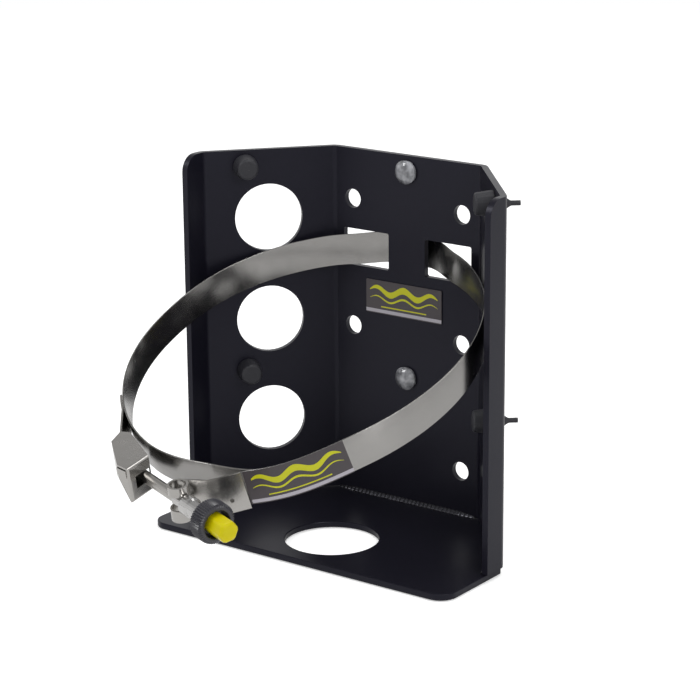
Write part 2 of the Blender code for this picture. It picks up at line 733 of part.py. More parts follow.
def hook_wedge(name, inset, parent):
    """A block beyond the slanting face that takes off the hook's lower outer corner."""
    half = HOOK_CHEEK_HEIGHT / 2.0
    heel = Vector((HOOK_HEEL[0], -HOOK_HEEL[1], -half))
    start = Vector((HOOK_ROOF_BREAK[0], -HOOK_ROOF_BREAK[1], half - HOOK_CUT_DOWN))
    stop = Vector((HOOK_ROOF_BREAK[0] + HOOK_CUT_ALONG, -HOOK_ROOF_BREAK[1], -half))
    across = (stop - start).normalized()
    normal = (heel - start).cross(stop - start).normalized()
    if normal.z > 0.0:
        normal.negate()
    side = normal.cross(across)
    place = Matrix((across, side, normal)).transposed().to_4x4()
    place.translation = start - normal * inset
    reach = 0.05
    block = [(-reach, -reach), (reach, -reach), (reach, reach), (-reach, reach)]
    return finish(prism(block, 0.0, reach), name, parent=parent, matrix=place)


def build_hook(band_frame, latch, steel):
    line = hook_line()
    half = HOOK_CHEEK_HEIGHT / 2.0
    outline = line + [(HOOK_INNER[0], -HOOK_INNER[1])]
    hook = finish(folded_prism(outline, half, line[3], line[4]), "hook_bracket", steel, latch)
    combine(hook, hook_wedge("hook_corner_cutter", 0.0, latch))

    seam_top = half - HOOK_SHEET
    lip_low = seam_top - HOOK_LIP_HEIGHT
    roof = line[2][1]
    lip_end = line[2][0] + HOOK_SEAM_LENGTH
    lip = [(line[2][0], roof + 0.5 * HOOK_SHEET), (line[2][0], roof - HOOK_LIP_RAISE),
           (lip_end, roof - HOOK_LIP_RAISE), (lip_end, roof + 0.5 * HOOK_SHEET)]
    lip_solid = finish(prism(lip, lip_low + HOOK_SEAM, seam_top - HOOK_SEAM), "hook_lip", parent=latch)
    combine(hook, lip_solid, "UNION")

    beyond = 0.012
    toe = shifted_end(line[0], line[1], HOOK_SHEET)
    foot = shifted_end(line[4], line[3], -HOOK_SHEET)
    cavity = [(toe[0], toe[1] + beyond), toe]
    cavity += [inset_corner(line[i - 1], line[i], line[i + 1], HOOK_SHEET) for i in (1, 2, 3)]
    cavity += [foot, (foot[0], foot[1] + beyond)]
    inside = half - HOOK_SHEET
    hollow = finish(prism(cavity, -inside, inside), "hook_cavity_cutter", parent=latch)
    combine(hollow, hook_wedge("hook_cavity_corner_cutter", HOOK_SHEET, latch))
    combine(hook, hollow)

    off = BAND_THICKNESS / 2.0 + SEAT_GAP
    strip = [band_station(a - 2.0 * math.pi)
             for a in angle_range(HOOK_STRIP_START, HOOK_STRIP_LEAVE, math.radians(3.0))]
    place = latch_matrix()
    turn = place.to_3x3()
    ramp = Vector((HOOK_HEEL[0] - HOOK_TOE[0], HOOK_TOE[1] - HOOK_HEEL[1])).normalized()
    foothold = place @ Vector((line[0][0] + 0.3 * HOOK_SHEET, line[0][1], 0.0))
    normal = (turn @ Vector((ramp.y, -ramp.x, 0.0)))
    strip.append((foothold - normal * off, normal, turn @ Vector((0.0, 0.0, 1.0))))
    combine(hook, finish(ribbon(strip, off, off + HOOK_SHEET, HOOK_STRIP_WIDTH), "hook_strip", parent=band_frame), "UNION")

    pivot = bolt_pivot()
    reach = HOOK_SHEET + SEAT_GAP + CROSSBAR_DIAMETER / 2.0
    room = BOLT_DIAMETER / 2.0 + SEAT_GAP
    swung = BOLT_TILT + BOLT_SWING
    inner_side = pivot[1] - (reach - HOOK_SHEET) * math.tan(BOLT_TILT) + room / math.cos(BOLT_TILT) + HOOK_SLOT_EASE
    outer_side = pivot[1] - reach * math.tan(swung) - room / math.cos(swung) - HOOK_SLOT_EASE
    back = pivot[0] + CROSSBAR_DIAMETER / 2.0 - HOOK_SHEET
    ahead = HOOK_WALL_TOP[0] + HOOK_SHEET
    slot = [(back, outer_side), (ahead, outer_side), (ahead, inner_side), (back, inner_side)]
    combine(hook, finish(prism(slot, -room, room), "hook_slot_cutter", parent=latch))
    for name, top in (("upper", seam_top), ("lower", lip_low + HOOK_SEAM)):
        seam = [(line[2][0] - 2.0 * HOOK_SHEET, roof - 2.0 * HOOK_SHEET), (lip_end, roof - 2.0 * HOOK_SHEET),
                (lip_end, roof + 1.5 * HOOK_SHEET), (line[2][0] - 2.0 * HOOK_SHEET, roof + 1.5 * HOOK_SHEET)]
        combine(hook, finish(prism(seam, top - HOOK_SEAM, top), f"hook_seam_cutter_{name}", parent=latch))


def bolt_pivot():
    """The crossbar's middle in the latch frame, bearing on the hook's end wall from inside."""
    foot = Vector((HOOK_WALL_FOOT[0], -HOOK_WALL_FOOT[1]))
    top = Vector((HOOK_WALL_TOP[0], -HOOK_WALL_TOP[1]))
    rise = (top - foot).normalized()
    off = HOOK_SHEET + SEAT_GAP + CROSSBAR_DIAMETER / 2.0
    spot = foot + rise * BOLT_FROM_FOOT + Vector((rise.y, -rise.x)) * off
    return (spot.x, spot.y)


def along_bolt(distance):
    """A point on the bolt's axis in plan in the latch frame."""
    pivot = bolt_pivot()
    return (pivot[0] + distance * math.cos(BOLT_TILT), pivot[1] - distance * math.sin(BOLT_TILT))


def build_bolt(swing, steel):
    """The shank runs along local X from a crossbar along local Z."""
    bar = finish(prism(circle(CROSSBAR_DIAMETER, 24), -CROSSBAR_LENGTH / 2.0, CROSSBAR_LENGTH / 2.0),
                 "t_bolt", steel, swing)
    chamfer = 0.0005
    radius = BOLT_DIAMETER / 2.0
    profile = [(0.0, 0.0), (radius, 0.0), (radius, BOLT_LENGTH - chamfer),
               (radius - chamfer, BOLT_LENGTH), (0.0, BOLT_LENGTH)]
    shank = finish(spun_solid(profile, 24), "bolt_shank", parent=swing, matrix=Matrix.Rotation(math.pi / 2.0, 4, "Y"))
    combine(bar, shank, "UNION")


def build_loop(band_frame, latch, steel):
    """A strip that lies on the band's end and rolls into a tube, slotted in its middle for the bolt."""
    centre = along_bolt(LOOP_FROM_PIVOT)
    half = LOOP_WIDTH / 2.0
    roll = finish(prism(circle(LOOP_DIAMETER, 32, centre), -LOOP_DROP - half, -LOOP_DROP + half),
                  "loop_bracket", steel, latch)

    off = BAND_THICKNESS / 2.0 + SEAT_GAP + LOOP_SHEET / 2.0
    tab = []
    for angle in angle_range(TAB_START, TAB_STOP, math.radians(2.0)):
        middle, facing, across = band_station(angle)
        tab.append((middle - across * LOOP_DROP, facing, across))
    radius = (LOOP_DIAMETER - LOOP_SHEET) / 2.0 - TAB_BURY
    end = in_latch(TAB_STOP, off)
    last = end.to_2d()
    to_centre = Vector(centre) - last
    heading = math.atan2(to_centre.y, to_centre.x) - math.asin(radius / to_centre.length)
    outward = Vector((-math.sin(heading), math.cos(heading)))
    place = latch_matrix()
    turn = place.to_3x3()
    touch = Vector(centre) - outward * radius
    for share in (0.5, 1.0):
        spot = last.lerp(touch, share) - outward * off
        lean = (end_twist(TAB_STOP) - LATCH_LEAN) * (1.0 - share)
        flat = Vector((outward.x, outward.y, 0.0))
        side = Vector((0.0, 0.0, 1.0))
        level = end.z * (1.0 - share) - LOOP_DROP
        tab.append((place @ Vector((spot.x, spot.y, level)),
                    turn @ (flat * math.cos(lean) + side * math.sin(lean)),
                    turn @ (side * math.cos(lean) - flat * math.sin(lean))))
    inner = off - LOOP_SHEET / 2.0
    strip = finish(ribbon(tab, inner, inner + LOOP_SHEET, LOOP_WIDTH), "loop_tab", parent=band_frame)
    combine(roll, strip, "UNION")

    bore = finish(prism(circle(LOOP_DIAMETER - 2.0 * LOOP_SHEET, 28, centre), -2.0 * half, 2.0 * half),
                  "loop_bore_cutter", parent=latch)
    combine(roll, bore)
    side = LOOP_DIAMETER / 2.0 + SEAT_GAP
    gap = [(centre[0] - side, centre[1] - side), (centre[0] + side, centre[1] - side),
           (centre[0] + side, centre[1] + side), (centre[0] - side, centre[1] + side)]
    combine(roll, finish(prism(gap, -LOOP_GAP / 2.0, LOOP_GAP / 2.0), "loop_gap_cutter", parent=latch))


def hexagon_ring(width, chamfered):
    """Points of a six-sided section with softened corners, by its width across flats."""
    points = []
    for i in range(6):
        for shift in (-chamfered, chamfered):
            angle = math.radians(60.0 * i + 30.0) + shift
            flat = math.radians(60.0 * round((math.degrees(angle)) / 60.0))
            radius = width / 2.0 / math.cos(angle - flat)
            points.append((radius * math.cos(angle), radius * math.sin(angle)))
    return points


def build_cap(turn, look, start):
    """A six-sided cap seated in the knob's recess; the bolt's end runs inside it."""
    bm = bmesh.new()
    soft = math.radians(8.0)
    bore = BOLT_DIAMETER / 2.0 + SEAT_GAP
    end = start + CAP_LENGTH
    sections = [(1.0, start), (1.0, end - CAP_CHAMFER), (1.0 - 2.0 * CAP_CHAMFER / CAP_WIDTH, end)]
    rings = []
    for scale, along in sections:
        rings.append([bm.verts.new((along, y * scale, x * scale)) for x, y in hexagon_ring(CAP_WIDTH, soft)])
    count = len(rings[0])
    inner = []
    for along in (end - CAP_WALL - SEAT_GAP, start):
        inner.append([bm.verts.new((along, bore * math.sin(a), bore * math.cos(a)))
                      for a in [math.atan2(y, x) for x, y in hexagon_ring(CAP_WIDTH, soft)]])
    loops = rings + inner
    bm.faces.new(rings[-1])
    bm.faces.new(inner[0])
    pairs = [(loops[0], loops[1]), (loops[1], loops[2]), (inner[0], inner[1]), (inner[1], loops[0])]
    for ring, after in pairs:
        for i in range(count):
            j = (i + 1) % count
            bm.faces.new((ring[i], ring[j], after[j], after[i]))
    finish(bm, "end_cap", look, turn)


def build_knob(swing, chrome, plastic, steel, cap):
    """Collar, knob and its threaded insert, strung along the bolt past the loop."""
    axis = Matrix.Rotation(math.pi / 2.0, 4, "Y")
    bore = BOLT_DIAMETER / 2.0 + THREAD_GAP
    seat = LOOP_FROM_PIVOT + LOOP_DIAMETER / 2.0 + SEAT_GAP
    nose = COLLAR_NOSE_DIAMETER / 2.0
    barrel = COLLAR_DIAMETER / 2.0
    groove = barrel - COLLAR_GROOVE_DEPTH
    edge = 0.0006
    stop = seat + COLLAR_LENGTH
    carrier = empty("knob_carrier", swing, Matrix.Translation((seat, 0.0, 0.0)))
    collar = [
        (bore, -COLLAR_NOSE_LENGTH, False), (nose, -COLLAR_NOSE_LENGTH, False), (nose, 0.0, False),
        (barrel - edge, 0.0, False), (barrel, edge, False), (barrel, COLLAR_LENGTH * 0.32, False),
        (groove, COLLAR_LENGTH * 0.38, False), (groove, COLLAR_LENGTH * 0.62, False),
        (barrel, COLLAR_LENGTH * 0.68, False), (barrel, COLLAR_LENGTH, False), (bore, COLLAR_LENGTH, False),
    ]
    finish(turned(collar, 28), "collar", chrome, carrier, axis)

    knob_start = stop + SEAT_GAP
    turn = empty("knob_turn", carrier, Matrix.Translation((knob_start - seat, 0.0, 0.0)))
    hub = INSERT_DIAMETER / 2.0 + THREAD_GAP
    rim = KNOB_DIAMETER / 2.0
    recess = KNOB_RECESS_DIAMETER / 2.0
    chamfer = 0.0011
    floor = KNOB_LENGTH - KNOB_RECESS_DEPTH
    knob = [
        (hub, 0.0, False), (rim - 1.6 * chamfer, 0.0, False), (rim, chamfer, True), (rim, KNOB_LENGTH - chamfer, True),
        (rim - 1.6 * chamfer, KNOB_LENGTH, False), (recess, KNOB_LENGTH, False),
        (recess - 0.0008, floor, False), (hub, floor, False),
    ]
    finish(turned(knob, 4 * KNOB_FLUTES, KNOB_FLUTES, KNOB_FLUTE_DEPTH), "knob", plastic, turn, axis)
    insert = [(bore, 0.0, False), (INSERT_DIAMETER / 2.0, 0.0, False),
              (INSERT_DIAMETER / 2.0, floor, False), (bore, floor, False)]
    finish(turned(insert, 24), "knob_insert", steel, turn, axis)
    build_cap(turn, cap, floor + SEAT_GAP)


def main():
    clear_scene()
    powder = material("black_powder_coat", (0.018, 0.018, 0.022), 0.42)
    weld = material("coated_weld", (0.03, 0.03, 0.034), 0.35)
    rubber = material("black_rubber", (0.022, 0.022, 0.024), 0.6)
    clear = material("clear_bumper", (0.42, 0.43, 0.44), 0.18)
    steel = material("stainless_strip", (0.62, 0.6, 0.57), 0.28, 1.0)
    chrome = material("bright_plating", (0.75, 0.75, 0.74), 0.12, 1.0)
    plastic = material("black_plastic", (0.02, 0.02, 0.023), 0.5)
    yellow = material("yellow_vinyl", (0.85, 0.78, 0.02), 0.4)
    label = material("label_film", (0.1, 0.095, 0.1), 0.4)

    build_body(powder)
    build_shelf(powder)
    build_welds(weld)
    build_bumpers(rubber, clear)
    build_panel_label(label)

    hinge = empty("strap_hinge", matrix=Matrix.Translation((0.0, STRAP_HINGE_Y, FLOOR + STRAP_HINGE_HEIGHT)))
    rear = (0.0, BAND_REAR_Y - STRAP_HINGE_Y, BAND_REAR_HEIGHT - STRAP_HINGE_HEIGHT)
    band_frame = empty("band_frame", hinge, Matrix.Translation(rear) @ Matrix.Rotation(RING_DROOP, 4, "X"))
    build_band(band_frame, steel, label)

    latch = empty("latch_frame", band_frame, latch_matrix())
    build_hook(band_frame, latch, steel)
    build_loop(band_frame, latch, steel)
    pivot = bolt_pivot()
    swing = empty("bolt_swing", latch, Matrix.Translation((pivot[0], pivot[1], 0.0))
                  @ Matrix.Rotation(-BOLT_TILT, 4, "Z"))
    build_bolt(swing, steel)
    build_knob(swing, chrome, plastic, steel, yellow)


main()
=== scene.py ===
"""Dresses the gas cylinder bracket: powder coat, stainless strap and latch, rubber, labels, studio."""

import json
import logging
import math
from dataclasses import dataclass, field
from enum import Enum
from typing import Callable, Sequence

import bmesh
import bpy
from bpy.types import Material, Node, NodeSocket, NodeTree, Object
from mathutils import Matrix, Vector


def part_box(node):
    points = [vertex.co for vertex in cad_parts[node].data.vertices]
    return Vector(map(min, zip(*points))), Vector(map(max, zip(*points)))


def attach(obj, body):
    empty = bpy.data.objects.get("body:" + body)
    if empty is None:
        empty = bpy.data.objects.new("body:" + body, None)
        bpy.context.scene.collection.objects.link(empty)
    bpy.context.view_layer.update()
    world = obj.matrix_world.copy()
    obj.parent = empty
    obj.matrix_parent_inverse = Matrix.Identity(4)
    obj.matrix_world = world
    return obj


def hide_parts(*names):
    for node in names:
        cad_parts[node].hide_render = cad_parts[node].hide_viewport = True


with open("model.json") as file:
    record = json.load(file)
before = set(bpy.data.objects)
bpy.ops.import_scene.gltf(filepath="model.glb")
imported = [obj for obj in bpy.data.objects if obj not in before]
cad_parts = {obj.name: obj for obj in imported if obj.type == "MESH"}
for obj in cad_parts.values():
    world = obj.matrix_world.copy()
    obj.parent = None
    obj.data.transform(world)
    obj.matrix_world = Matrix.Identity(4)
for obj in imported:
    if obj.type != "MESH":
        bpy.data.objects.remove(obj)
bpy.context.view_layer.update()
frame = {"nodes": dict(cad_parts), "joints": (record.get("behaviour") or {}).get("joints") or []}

log = logging.getLogger("bracket")


class Body(str, Enum):
    """The moving bodies that a piece can ride on."""

    BRACKET = "bracket"
    STRAP = "strap"
    BOLT = "bolt"
    COLLAR = "collar"
    KNOB = "knob"


Triple = tuple[float, float, float]
Colour = Triple
WHITE = (1.0, 1.0, 1.0)
NUMBER = "NodeSocketFloat"
VECTOR = "NodeSocketVector"


# Shader node groups

def new_group(name: str, inputs: Sequence[tuple[str, str, float]],
              outputs: Sequence[tuple[str, str]]) -> NodeTree:
    """Starts a shader node group.

    Args:
        name: the group's name.
        inputs: socket name, socket type and default value of each input.
        outputs: socket name and socket type of each output.

    Returns:
        The group's tree, with its input and output nodes named "in" and "out".
    """
    tree = bpy.data.node_groups.new(name, "ShaderNodeTree")
    for label, kind, value in inputs:
        socket = tree.interface.new_socket(label, in_out="INPUT", socket_type=kind)
        if kind == NUMBER:
            socket.default_value = value
    for label, kind in outputs:
        tree.interface.new_socket(label, in_out="OUTPUT", socket_type=kind)
    start = tree.nodes.new("NodeGroupInput")
    start.name = "in"
    end = tree.nodes.new("NodeGroupOutput")
    end.name = "out"
    return tree


def feed(tree: NodeTree, slot: NodeSocket, value: NodeSocket | float | Colour) -> None:
    """Gives an input socket its value.

    Args:
        tree: the tree that the socket is in.
        slot: the input socket.
        value: a number, a colour, or the socket that feeds it.
    """
    if isinstance(value, (int, float)):
        slot.default_value = value
    elif isinstance(value, tuple):
        slot.default_value = (*value, 1.0)
    else:
        tree.links.new(value, slot)


def wire(tree: NodeTree, node: Node, **values: NodeSocket | float | Colour) -> None:
    """Gives a node's inputs their values.

    Args:
        tree: the tree that the node is in.
        node: the node.
        values: its inputs by name, with underscores for spaces.
    """
    for label, value in values.items():
        feed(tree, node.inputs[label.replace("_", " ")], value)


def noise(tree: NodeTree, vector: NodeSocket, scale: NodeSocket | float, detail: float,
          rough: float = 0.5) -> NodeSocket:
    """Adds a noise texture.

    Args:
        tree: the tree to add to.
        vector: where the noise is read.
        scale: its scale, as a number or a socket.
        detail: octaves of detail.
        rough: how strong the finer octaves are.

    Returns:
        The noise's value, from 0 to 1.
    """
    node = tree.nodes.new("ShaderNodeTexNoise")
    wire(tree, node, Vector=vector, Scale=scale, Detail=detail, Roughness=rough)
    return node.outputs["Fac"]


def calc(tree: NodeTree, operation: str, *values: NodeSocket | float) -> NodeSocket:
    """Adds a maths node.

    Args:
        tree: the tree to add to.
        operation: the node's operation.
        values: its inputs, as numbers or sockets.

    Returns:
        The result.
    """
    node = tree.nodes.new("ShaderNodeMath")
    node.operation = operation
    for slot, value in zip(node.inputs, values):
        feed(tree, slot, value)
    return node.outputs[0]


def scale_up(tree: NodeTree, value: NodeSocket, factor: float, base: NodeSocket | float) -> NodeSocket:
    """Multiplies a value by a factor and adds a base."""
    return calc(tree, "ADD", calc(tree, "MULTIPLY", value, factor), base)


def weigh(tree: NodeTree, first: NodeSocket, second: NodeSocket, share: float) -> NodeSocket:
    """Adds up two values: the first weighs its share and the second the rest."""
    return scale_up(tree, first, share, calc(tree, "MULTIPLY", second, 1.0 - share))


def span(tree: NodeTree, value: NodeSocket, low: float, high: float, to_low: float = 0.0,
         to_high: float = 1.0) -> NodeSocket:
    """Maps a value from one range to another, clamped.

    Args:
        tree: the tree to add to.
        value: the value to map.
        low: start of its range.
        high: end of its range.
        to_low: result at the start.
        to_high: result at the end.

    Returns:
        The mapped value.
    """
    node = tree.nodes.new("ShaderNodeMapRange")
    wire(tree, node, Value=value, From_Min=low, From_Max=high, To_Min=to_low, To_Max=to_high)
    return node.outputs["Result"]


def coat_group() -> NodeTree:
    """Powder coat: fine orange peel, and slow changes of gloss.

    Returns:
        The group, with outputs Height, Gloss Shift and Tone.
    """
    tree = new_group("powder_peel", [("Vector", VECTOR, 0.0), ("Scale", NUMBER, 900.0)],
                     [("Height", NUMBER), ("Gloss Shift", NUMBER), ("Tone", NUMBER)])
    start, end = tree.nodes["in"], tree.nodes["out"]
    peel = noise(tree, start.outputs["Vector"], start.outputs["Scale"], 2.0, 0.6)
    slow = noise(tree, start.outputs["Vector"], 22.0, 3.0)
    tree.links.new(peel, end.inputs["Height"])
    tree.links.new(span(tree, slow, 0.3, 0.7, -1.0, 1.0), end.inputs["Gloss Shift"])
    tree.links.new(weigh(tree, peel, slow, 0.4), end.inputs["Tone"])
    return tree


def dust_group() -> NodeTree:
    """Sparse pale specks of lint, as a mask.

    Returns:
        The group, with output Mask.
    """
    tree = new_group("fine_specks", [("Vector", VECTOR, 0.0), ("Scale", NUMBER, 1200.0),
                                     ("Amount", NUMBER, 0.2)], [("Mask", NUMBER)])
    start, end = tree.nodes["in"], tree.nodes["out"]
    value = noise(tree, start.outputs["Vector"], start.outputs["Scale"], 1.0)
    mask = span(tree, value, 0.72, 0.78)
    tree.links.new(calc(tree, "MULTIPLY", mask, start.outputs["Amount"]), end.inputs["Mask"])
    return tree


def brushed_group() -> NodeTree:
    """Rolled steel: long fine lines along X of its vector, with faint slow patches: smudges of tone on the
    latch and collar, and painted reflection on the band.

    Returns:
        The group, with outputs Lines, Smudge And Reflection and Height.
    """
    tree = new_group("rolled_lines", [("Vector", VECTOR, 0.0), ("Along", NUMBER, 40.0),
                                      ("Across", NUMBER, 4000.0)],
                     [("Lines", NUMBER), ("Smudge And Reflection", NUMBER), ("Height", NUMBER)])
    start, end = tree.nodes["in"], tree.nodes["out"]
    stretch = tree.nodes.new("ShaderNodeCombineXYZ")
    tree.links.new(start.outputs["Along"], stretch.inputs[0])
    tree.links.new(start.outputs["Across"], stretch.inputs[1])
    tree.links.new(start.outputs["Across"], stretch.inputs[2])
    scaled = tree.nodes.new("ShaderNodeVectorMath")
    scaled.operation = "MULTIPLY"
    tree.links.new(start.outputs["Vector"], scaled.inputs[0])
    tree.links.new(stretch.outputs[0], scaled.inputs[1])
    lines = noise(tree, scaled.outputs[0], 1.0, 3.0, 0.7)
    smudge_and_reflection = noise(tree, start.outputs["Vector"], 60.0, 4.0, 0.6)
    tree.links.new(lines, end.inputs["Lines"])
    tree.links.new(smudge_and_reflection, end.inputs["Smudge And Reflection"])
    tree.links.new(weigh(tree, lines, smudge_and_reflection, 0.7), end.inputs["Height"])
    return tree


@dataclass
class Store:
    """Keeps each node group and material, built once."""

    groups: dict[str, NodeTree] = field(default_factory=dict)
    materials: dict[str, Material] = field(default_factory=dict)

    def group(self, make: Callable[[], NodeTree]) -> NodeTree:
        """Gives a node group, and makes it at its first use.

        Args:
            make: the function that makes it.

        Returns:
            The group.
        """
        if make.__name__ not in self.groups:
            self.groups[make.__name__] = make()
        return self.groups[make.__name__]


STORE = Store()


def place(tree: NodeTree, group: NodeTree, vector: NodeSocket, **values: float) -> Node:
    """Places a group in a material.

    Args:
        tree: the material's tree.
        group: the group.
        vector: its Vector input.
        values: other inputs by name, as for wire.

    Returns:
        The group's node.
    """
    node = tree.nodes.new("ShaderNodeGroup")
    node.node_tree = group
    wire(tree, node, Vector=vector, **values)
    return node


def mix(tree: NodeTree, share: NodeSocket, first: Colour | NodeSocket,
        second: Colour | NodeSocket) -> NodeSocket:
    """Mixes two colours.

    Args:
        tree: the tree to add to.
        share: how much of the second colour.
        first: colour or socket.
        second: colour or socket.

    Returns:
        The mixed colour.
    """
    node = tree.nodes.new("ShaderNodeMix")
    node.data_type = "RGBA"
    tree.links.new(share, node.inputs["Factor"])
    for label, item in (("A", first), ("B", second)):
        feed(tree, [s for s in node.inputs if s.name == label and s.type == "RGBA"][0], item)
    return [s for s in node.outputs if s.type == "RGBA"][0]


def bump(tree: NodeTree, height: NodeSocket, strength: float, distance: float) -> NodeSocket:
    """Adds a bump node.

    Args:
        tree: the tree to add to.
        height: the height value.
        strength: the bump's strength.
        distance: the height of 1, in metres.

    Returns:
        The bumped normal.
    """
    node = tree.nodes.new("ShaderNodeBump")
    wire(tree, node, Strength=strength, Distance=distance, Height=height)
    return node.outputs["Normal"]


def ray_kinds(tree: NodeTree) -> tuple[NodeSocket, NodeSocket]:
    """Gives two masks: what the camera sees, straight or through glass, and what mirrors see."""
    path = tree.nodes.new("ShaderNodeLightPath")
    seen = calc(tree, "MAXIMUM", path.outputs["Is Camera Ray"], path.outputs["Is Transmission Ray"])
    return seen, path.outputs["Is Glossy Ray"]


def blank(name: str) -> tuple[Material, NodeTree, Node, NodeSocket]:
    """Starts a material.

    Args:
        name: the material's name.

    Returns:
        The material, its tree, its Principled node and object coordinates.
    """
    made = bpy.data.materials.new(name)
    made.use_nodes = True
    tree = made.node_tree
    shader = tree.nodes["Principled BSDF"]
    coordinates = tree.nodes.new("ShaderNodeTexCoord")
    return made, tree, shader, coordinates.outputs["Object"]


@dataclass(frozen=True)
class PowderCoat:
    """Black powder coat on steel."""

    name: str = "black_powder_coat"
    dark: Colour = (0.0055, 0.0052, 0.0095)
    pale: Colour = (0.0092, 0.0088, 0.0148)
    roughness: float = 0.33
    drift: float = 0.035
    grain: float = 1100.0
    peel: float = 0.1
    relief: float = 0.0002
    shine: float = 0.2
    tint: Colour = (0.86, 0.86, 1.0)

    def build(self) -> Material:
        """Makes the material.

        Returns:
            The material.
        """
        made, tree, shader, spot = blank(self.name)
        peel = place(tree, STORE.group(coat_group), spot, Scale=self.grain)
        wire(tree, shader, Base_Color=mix(tree, peel.outputs["Tone"], self.dark, self.pale),
             Roughness=scale_up(tree, peel.outputs["Gloss Shift"], self.drift, self.roughness),
             Normal=bump(tree, peel.outputs["Height"], self.peel, self.relief),
             Specular_IOR_Level=self.shine, Specular_Tint=self.tint)
        return made


@dataclass(frozen=True)
class RolledSteel:
    """Cold-rolled stainless strip, brushed along its length."""

    name: str = "rolled_stainless"
    dark: Colour = (0.26, 0.252, 0.243)
    pale: Colour = (0.31, 0.302, 0.292)
    roughness: float = 0.12
    spread: float = 0.05
    along: float = 60.0
    across: float = 5200.0
    use_uv: bool = False
    lines: float = 0.04
    line_relief: float = 0.00005
    smear: float = 0.08
    stretch: float = 0.0
    stretch_turn: float = 0.25
    wobble: float = 0.0
    dent_scale: float = 130.0
    dent_relief: float = 0.0006

    def build(self) -> Material:
        """Makes the material.

        Returns:
            The material.
        """
        made, tree, shader, spot = blank(self.name)
        if self.use_uv:
            spot = spot.node.outputs["UV"]
            along = tree.nodes.new("ShaderNodeTangent")
            along.direction_type = "UV_MAP"
            along.uv_map = "run"
            wire(tree, shader, Tangent=along.outputs["Tangent"], Anisotropic=self.stretch,
                 Anisotropic_Rotation=self.stretch_turn)
        rolled = place(tree, STORE.group(brushed_group), spot, Along=self.along, Across=self.across)
        # On the band, the slow patches in this tone are painted reflection.
        tone = weigh(tree, rolled.outputs["Lines"], rolled.outputs["Smudge And Reflection"], 0.5)
        rough = span(tree, rolled.outputs["Lines"], 0.25, 0.75, self.roughness, self.roughness + self.spread)
        smudged = span(tree, rolled.outputs["Smudge And Reflection"], 0.45, 0.7)
        dents = bump(tree, noise(tree, spot, self.dent_scale, 1.0), self.wobble, self.dent_relief)
        wire(tree, dents.node, Normal=bump(tree, rolled.outputs["Height"], self.lines, self.line_relief))
        wire(tree, shader, Base_Color=mix(tree, tone, self.dark, self.pale), Metallic=1.0,
             Roughness=scale_up(tree, smudged, self.smear, rough), Normal=dents)
        return made


@dataclass(frozen=True)
class BrightPlate:
    """Bright plating over turned steel."""

    name: str = "bright_plate"
    pale: Colour = (0.5, 0.493, 0.485)
    shade: float = 0.8
    roughness: float = 0.1
    spread: float = 0.12
    grain: float = 900.0

    def build(self) -> Material:
        """Makes the material.

        Returns:
            The material.
        """
        made, tree, shader, spot = blank(self.name)
        rolled = place(tree, STORE.group(brushed_group), spot, Along=self.grain, Across=self.grain)
        dark = tuple(self.shade * c for c in self.pale)
        rough = span(tree, rolled.outputs["Lines"], 0.3, 0.8, self.roughness, self.roughness + self.spread)
        wire(tree, shader, Base_Color=mix(tree, rolled.outputs["Smudge And Reflection"], self.pale, dark), Metallic=1.0,
             Roughness=rough)
        return made


@dataclass(frozen=True)
class Moulded:
    """Moulded rubber or plastic with a fine skin."""

    name: str
    dark: Colour
    pale: Colour
    roughness: float
    drift: float = 0.05
    grain: float = 2500.0
    peel: float = 0.08
    relief: float = 0.0001
    subsurface: float = 0.0
    specks: float = 0.0
    speck_grain: float = 1500.0
    speck_colour: Colour = (0.3, 0.3, 0.3)
    shine: float = 0.35

    def build(self) -> Material:
        """Makes the material.

        Returns:
            The material.
        """
        made, tree, shader, spot = blank(self.name)
        skin = place(tree, STORE.group(coat_group), spot, Scale=self.grain)
        colour = mix(tree, skin.outputs["Tone"], self.dark, self.pale)
        if self.specks > 0.0:
            dust = place(tree, STORE.group(dust_group), spot, Scale=self.speck_grain, Amount=self.specks)
            colour = mix(tree, dust.outputs["Mask"], colour, self.speck_colour)
        wire(tree, shader, Base_Color=colour,
             Roughness=scale_up(tree, skin.outputs["Gloss Shift"], self.drift, self.roughness),
             Normal=bump(tree, skin.outputs["Height"], self.peel, self.relief),
             Subsurface_Weight=self.subsurface, Specular_IOR_Level=self.shine)
        return made


@dataclass(frozen=True)
class ClearDome:
    """A clear glossy bumper: grey, with pale blotches of painted reflection, and painted shade darkening its
    rim where it turns away from the camera.
    """

    name: str = "clear_dome"
    dark: Colour = (0.11, 0.112, 0.122)
    pale: Colour = (0.38, 0.385, 0.41)
    # Painted shade: the colour that the dome's rim darkens to.
    edge: Colour = (0.03, 0.03, 0.035)
    roughness: float = 0.07
    spread: float = 0.08
    reflection_blotch_scale: float = 190.0
    peel: float = 0.12
    relief: float = 0.0006
    coat: float = 0.6

    def build(self) -> Material:
        """Makes the material.

        Returns:
            The material.
        """
        made, tree, shader, spot = blank(self.name)
        reflection_blotches = place(tree, STORE.group(coat_group), spot, Scale=self.reflection_blotch_scale)
        # Painted reflection: the noise lays pale blotches over the grey, standing in for bright spots
        # mirrored in the dome.
        tone = span(tree, reflection_blotches.outputs["Height"], 0.36, 0.66)
        # Painted shade: the colour darkens towards the edge colour where the dome's surface turns away from
        # the camera.
        side = tree.nodes.new("ShaderNodeLayerWeight")
        rim = span(tree, side.outputs["Facing"], 0.5, 0.95)
        grey_with_painted_reflections = mix(tree, tone, self.dark, self.pale)
        wire(tree, shader, Base_Color=mix(tree, rim, grey_with_painted_reflections, self.edge),
             Roughness=scale_up(tree, tone, self.spread, self.roughness),
             Normal=bump(tree, reflection_blotches.outputs["Height"], self.peel, self.relief), Coat_Weight=self.coat)
        return made


def material(finish: PowderCoat | RolledSteel | BrightPlate | Moulded | ClearDome) -> Material:
    """Gives a finish's material, and makes it at its first use.

    Args:
        finish: the finish.

    Returns:
        Its material.
    """
    if finish.name not in STORE.materials:
        STORE.materials[finish.name] = finish.build()
    return STORE.materials[finish.name]


